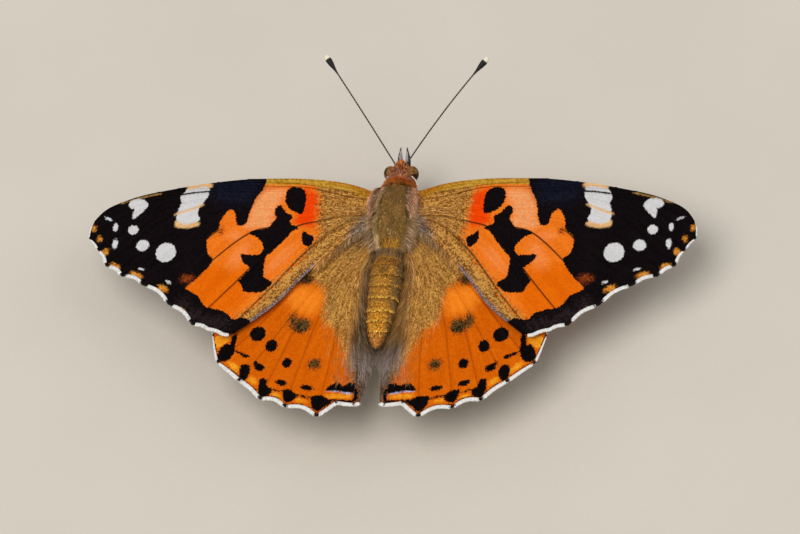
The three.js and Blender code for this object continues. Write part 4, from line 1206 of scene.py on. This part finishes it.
EYE_MIDDLE, EYE_AXES = np.array([1.12, 4.28, -1.12]), np.array([0.66, 0.76, 0.86])
EYE_ROWS, EYE_SIDES, RIM_HAIRS = 32, 44, 600
RIM_LINE = [[1.0, 3.7, -0.4], [1.3, 3.5, -0.55], [1.58, 3.25, -0.75], [1.76, 2.95, -1.1],
            [1.75, 2.9, -1.5]]
RIM_ASIDE, RIM_LENGTH = {"left": -0.12, "right": 0.02}, {"left": 0.06, "right": 0.12}
cornea = Finish("cornea")
facets = cornea.cells(16.0, "Distance")
blots = cornea.step(cornea.noise(2.2, 2.0), 0.52, 0.6)
# The cornea turns near black by the carried value under: painted shade on its lower, outer side
cornea_finish = cornea.surface(
    cornea.blend(cornea.carried("under"), cornea.blend(blots, tint("885a1e"), tint("2a180a")),
                 tint("20160c")), 0.4, facets, 0.012,
    Specular_IOR_Level=0.15, Coat_Weight=0.08, Coat_Roughness=0.25)
eye_turns = np.linspace(0, np.pi, EYE_ROWS + 2)[1:-1, None]
eye_sides = 2 * np.pi * np.arange(EYE_SIDES)[None] / EYE_SIDES
eye_rings = np.stack([np.sin(eye_turns) * np.sin(eye_sides), np.cos(eye_turns) + 0 * eye_sides,
                      np.sin(eye_turns) * np.cos(eye_sides)], -1).reshape(-1, 3)
eye_shape = np.concatenate([eye_rings, [[0, 1, 0], [0, -1, 0]]]) * EYE_AXES
# Painted shade: the share of near-black on the eye's lower, outer side
eye_painted_shade = ramp(eye_shape[:, 2] - 0.6 * eye_shape[:, 0], 0.15, -0.3)
rim_line = ray(RIM_LINE, np.linspace(0, 1, 101))
for side, sign in SIDES:
    eye = piece_of(f"cornea_{side}", (EYE_MIDDLE + eye_shape) * [sign, 1, 1],
                   ring_faces(EYE_ROWS, EYE_SIDES), cornea_finish, {"under": eye_painted_shade})
    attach(eye, "root")
    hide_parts(f"eye_{side}")
    random = np.random.default_rng(51)
    at = random.uniform(0.2, 0.85, RIM_HAIRS)
    rim_roots = rim_line[(100 * at).astype(int)] + [RIM_ASIDE[side], 0, 0.12]
    rim_roots = rim_roots + random.normal(0, 0.02, (RIM_HAIRS, 3))
    rim_way = unit(rim_roots - [0.4, 3.6, -1.5])
    rim = coat_of(f"eye_rim_hair_{side}", hair_finish,
                  *mirrored_roots(sign, rim_roots, rim_way, np.array([0.2, -0.8, 0.6])),
                  np.stack([0.02 + 0.9 * at, np.full(RIM_HAIRS, 0.5)], -1),
                  plain("fff6e6", RIM_HAIRS), RIM_LENGTH[side], 0.045, lift=0.1, bend=0.1,
                  roll=0.3, seed=52)
    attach(rim, "root")


# Feelers, palps and tongue
# The feelers are chains of some forty short horny joints, scaled dark with a pale ring at each,
# that swell into a flat-tipped club; the palps are hairy horns, the tongue a coiled double tube.

def tube(path, radii, sides, up=UP):
    """Rings round a path, each square to the way on, closed by a point at either end. Their sides
    count from the up direction."""
    along = unit(np.gradient(path, axis=0))
    across = unit(np.cross(along, up))
    rise = np.cross(across, along)
    angle = 2 * np.pi * np.arange(sides) / sides
    radii = radii[:, None, None]
    rings = path[:, None] + radii * (np.sin(angle)[None, :, None] * across[:, None]
                                     + np.cos(angle)[None, :, None] * rise[:, None])
    ends = [path[0] - 0.5 * radii[0, 0] * along[0], path[-1] + 0.5 * radii[-1, 0] * along[-1]]
    return np.concatenate([rings.reshape(-1, 3), ends])


def along_tube(values, sides):
    """One value for each ring of a tube, given to all its points and the two ends."""
    return np.concatenate([np.repeat(values, sides, axis=0), values[[0, -1]]])


def round_tube(path, at, turn, rise=None):
    """Places on a tube's midline at ring counts that need not be whole, taken at the ring before;
    the way on there; and the way out by the turn from the rise, which is square to the way on
    unless it is given."""
    ring = np.floor(at).astype(int)
    way = unit(path[ring + 1] - path[ring])
    aside = unit(np.cross(way, UP))
    rise = np.cross(aside, way) if rise is None else rise
    return path[ring], way, aside * np.sin(turn)[:, None] + rise * np.cos(turn)[:, None]


horn = Finish("scaled_horn")
horn_finish = horn.surface(
    horn.dimmed(horn.carried("tint", "Color"), 0.7 + 0.5 * horn.noise(14.0)), 0.6,
    horn.cells(12.0, "Distance"), 0.01, Specular_IOR_Level=0.35)
FEELER_ROOT = np.array([0.62, 5.05, -0.42])
FEELER_TIPS = {"left": np.array([-7.98, 14.95, 4.2]), "right": np.array([8.78, 14.62, 4.2])}
SHAFT, CLUB = 0.07, 0.31
# Distances from the tip, and how much of the club's swelling there is at each
CLUB_FORM = [[0, 0.1, 0.35, 0.7, 1.1, 1.75, 2.3], [0.4, 0.75, 0.97, 1, 0.8, 0.25, 0]]
ARCH, ROOT_BEND, JOINT_LENGTH = 1.0, 0.25, 0.3
FEELER_RINGS, FEELER_SIDES = 320, 16
for side, sign in SIDES:
    start, end = FEELER_ROOT * [sign, 1, 1], FEELER_TIPS[side]
    share = np.linspace(0, 1, FEELER_RINGS)[:, None]
    crown = (start + end) / 2 + ARCH * UP
    path = (1 - share) ** 2 * start + 2 * share * (1 - share) * crown + share ** 2 * end
    path = path + unit(start - end) * ROOT_BEND * (1 - share) ** 8
    run = run_along(path)
    left_over = run[-1] - run
    club = np.interp(left_over, *CLUB_FORM) * (CLUB - SHAFT)
    joint = run / JOINT_LENGTH % 1
    radii = SHAFT + club + 0.008 * np.sin(np.pi * joint) + 0.05 * np.exp(-(run / 0.25) ** 2)
    pale_ring = ramp(joint, 0.78, 0.84) * ramp(joint, 1.0, 0.95) * ramp(left_over, 2.2, 2.6)
    color = layered(
        plain("2a1d13", FEELER_RINGS), ("a8977a", pale_ring * 0.8),
        ("0e0b09", ramp(left_over, 2.0, 1.7)), ("f6ead0", ramp(left_over, 0.52, 0.42)))
    feeler = piece_of(f"feeler_{side}", tube(path, radii, FEELER_SIDES),
                      ring_faces(FEELER_RINGS, FEELER_SIDES), horn_finish,
                      color=along_tube(color, FEELER_SIDES))
    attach(feeler, "root")
    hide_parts(f"antenna_{side}")

PALP_LINE = [[0.35, 5.1, -1.9], [0.37, 5.6, -1.8], [0.39, 6.0, -1.55], [0.38, 6.45, -1.25],
             [0.35, 6.85, -1.0], [0.33, 7.05, -0.88]]
PALP_RINGS, PALP_SIDES, PALP_HAIRS, PALP_DARK = 60, 16, 900, "2a1e16"
palp_shares = np.linspace(0, 1, PALP_RINGS)
radii = np.interp(palp_shares, [0, 0.3, 0.55, 0.8, 1], [0.2, 0.29, 0.25, 0.13, 0.04])
palp_turns = np.arange(PALP_RINGS * PALP_SIDES + 2) % PALP_SIDES / PALP_SIDES
for side, sign in SIDES:
    path = ray(PALP_LINE, palp_shares) * [sign, 1, 1]
    outer = sign * np.sin(2 * np.pi * palp_turns) > 0.3
    palp = piece_of(f"palp_horn_{side}", tube(path, radii, PALP_SIDES),
                    ring_faces(PALP_RINGS, PALP_SIDES), horn_finish,
                    color=either(outer, PALP_DARK, "a89a9c"))
    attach(palp, "root")
    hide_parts(f"palp_{side}")
    random = np.random.default_rng(61)
    share = random.random(PALP_HAIRS) * 0.97
    turn = random.uniform(0, 2 * np.pi, PALP_HAIRS)
    midline, way, out = round_tube(path, share * (PALP_RINGS - 2), turn,
                                   np.array([0, -0.35, 0.94]))
    roots = midline + out * np.interp(share, palp_shares, radii)[:, None]
    dark = (out[:, 0] * sign > 0.35) | (share > 0.85)
    palp_hair = coat_of(f"palp_hair_{side}", hair_finish, roots, way, out,
                        np.stack([0.02 + 0.96 * share, 0.02 + 0.15 * turn], -1),
                        either(dark, PALP_DARK, "b8acae"), 0.3, 0.035, lift=0.15, bend=0.1,
                        roll=0.4, seed=62)
    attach(palp_hair, "root")

# The tongue hangs from the face and coils up in 2.6 turns that close in on their middle
COIL_TURNS, COIL_REACH, COIL_CLOSES, TONGUE_SIDES = 2.6, 1.05, 0.85, 14
share = np.linspace(0, 1, 260)
angle, reach = 0.5 * np.pi - 2 * np.pi * COIL_TURNS * share, COIL_REACH - COIL_CLOSES * share
coil = np.stack([0.03 * np.sin(9 * share), 5.0 + reach * np.cos(angle),
                 -3.75 + reach * np.sin(angle)], -1)
stem = ray([[0, 4.9, -2.1], [0, 5.15, -2.4], coil[0]], np.linspace(0, 1, 30))
coil = np.concatenate([stem[:-1], coil])
radii = np.linspace(0.13, 0.07, len(coil)) * (1 + 0.06 * np.sin(np.arange(len(coil))))
tongue = piece_of("tongue", tube(coil, radii, TONGUE_SIDES, (1, 0, 0)),
                  ring_faces(len(coil), TONGUE_SIDES), horn_finish,
                  color=plain("4a3018", len(coil) * TONGUE_SIDES + 2))
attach(tongue, "root")
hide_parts("proboscis")


# The legs
# Four walking legs of thigh, shin and a five-jointed foot, scaled buff, with short spines on shin
# and foot; the two short forelegs are brushes of hair folded against the chest.

GROUND = -6.6
LEG_POINTS = {
    "midleg": [[1.0, 0.4, -3.0], [1.35, 0.55, -3.55], [4.9, 2.6, -2.7], [7.2, 3.9, -5.85],
               [7.5, 4.1, -6.42], [9.3, 5.5, -6.45]],
    "hindleg": [[1.0, -2.9, -3.0], [1.3, -3.1, -3.5], [4.3, -6.3, -3.0], [6.9, -9.4, -5.85],
                [7.1, -9.8, -6.42], [8.3, -12.2, -6.45]],
}
# [share of the leg's length from hip to toe, radius]
LEG_RADII = [[0, 0.36], [0.08, 0.36], [0.2, 0.3], [0.36, 0.2], [0.385, 0.17], [0.41, 0.2],
             [0.55, 0.17], [0.71, 0.13], [0.74, 0.15], [0.76, 0.12], [1, 0.1]]
FOOT_START, FOOT_JOINT = 0.76, 0.048
LEG_RINGS, LEG_SIDES, LEG_SCALES = 241, 14, 1700
# Rings at the thigh's end and at the first and the last spine
THIGH_END, FIRST_SPINE, LAST_SPINE = 85, 95, 225


def walking_leg(joints):
    """The leg's midline: straight lengths between joints with their corners rounded by a short
    running mean, and its radius from the table, with five swellings along the foot."""
    corners = np.array(joints)
    run = run_along(corners)
    share = np.linspace(0, 1, LEG_RINGS)
    path = at_run(share * run[-1], run, corners)
    padded = np.concatenate([np.repeat(path[:1], 3, 0), path, np.repeat(path[-1:], 3, 0)])
    path = np.mean([padded[k:k + len(path)] for k in range(7)], axis=0)
    radii = np.interp(share, *np.array(LEG_RADII).T)
    foot = ramp(share, FOOT_START, FOOT_START + 0.02)
    swelling = np.abs(np.sin(np.pi * (share - FOOT_START) / FOOT_JOINT))
    radii = radii * (1 + 0.14 * foot * swelling)
    path[:, 2] = np.maximum(path[:, 2], GROUND + radii + 0.01)
    return path, radii, share


for name, joints in LEG_POINTS.items():
    path, radii, share = walking_leg(joints)
    color = layered(
        plain("b79f7c", LEG_RINGS),
        ("8a6c48", ramp(share, 0.3, 0.37) * ramp(share, 0.42, 0.38)),
        ("6e5236", 0.7 * ramp(share, 0.74, 0.76)), ("d8c8ac", 0.5 * ramp(share, 0.2, 0.05)))
    random = np.random.default_rng(71)
    at = random.uniform(4, LEG_RINGS - 5, LEG_SCALES)
    turn = random.uniform(0, 2 * np.pi, LEG_SCALES)
    midline, way, out = round_tube(path, at, turn)
    roots = midline + 0.9 * np.interp(at, np.arange(LEG_RINGS), radii)[:, None] * out
    spiny = (random.random(LEG_SCALES) < 0.05) & (at > FIRST_SPINE) & (at < LAST_SPINE)
    length = np.where(spiny, 0.4, np.where(at < THIGH_END, 0.38, 0.16))
    low = (roots[:, 2] < GROUND + 0.35) & (out[:, 2] < 0)
    length = np.where(low, 0.05, length)
    hair_color = at_run(at, np.arange(LEG_RINGS), color)
    hair_color = np.where(spiny[:, None], tint("2e2016", False), hair_color)
    for side, sign in SIDES:
        limb = piece_of(f"{name}_limb_{side}", tube(path, radii, LEG_SIDES) * [sign, 1, 1],
                        ring_faces(LEG_RINGS, LEG_SIDES), horn_finish,
                        color=along_tube(color, LEG_SIDES))
        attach(limb, "root")
        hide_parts(f"{name}_{side}")
        scales = coat_of(f"{name}_scales_{side}", hair_finish,
                         *mirrored_roots(sign, roots, way, out),
                         np.stack([0.02 + 0.004 * at, 0.02 + 0.15 * turn], -1), hair_color,
                         length, np.where(spiny, 0.035, 0.07), np.where(spiny, 0.5, 0.15),
                         bend=0.05, roll=0.3, seed=72)
        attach(scales, "root")

BRUSH_LINE = [[0.6, 2.95, -2.6], [0.8, 2.45, -3.35], [0.75, 3.2, -3.9], [0.6, 4.4, -3.5]]
BRUSH_RINGS, BRUSH_HAIRS = 80, 1100
share = np.linspace(0, 1, BRUSH_RINGS)
brush_path = ray(BRUSH_LINE, share)
brush_radii = np.interp(share, [0, 0.3, 0.7, 1], [0.17, 0.2, 0.17, 0.08])
random = np.random.default_rng(81)
at = random.uniform(0, BRUSH_RINGS - 2, BRUSH_HAIRS)
turn = random.uniform(0, 2 * np.pi, BRUSH_HAIRS)
midline, brush_way, brush_out = round_tube(brush_path, at, turn)
for side, sign in SIDES:
    brush = piece_of(f"foreleg_limb_{side}",
                     tube(brush_path, brush_radii, LEG_SIDES) * [sign, 1, 1],
                     ring_faces(BRUSH_RINGS, LEG_SIDES), horn_finish,
                     color=plain("a89478", BRUSH_RINGS * LEG_SIDES + 2))
    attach(brush, "root")
    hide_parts(f"foreleg_{side}")
    brush_hair = coat_of(f"foreleg_hair_{side}", hair_finish,
                         *mirrored_roots(sign, midline + 0.15 * brush_out, brush_way, brush_out),
                         np.stack([0.02 + 0.012 * at, 0.02 + 0.15 * turn], -1),
                         plain("cbbda0", BRUSH_HAIRS), 0.32, 0.045, lift=0.3, bend=0.1, roll=0.4,
                         seed=82)
    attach(brush_hair, "root")
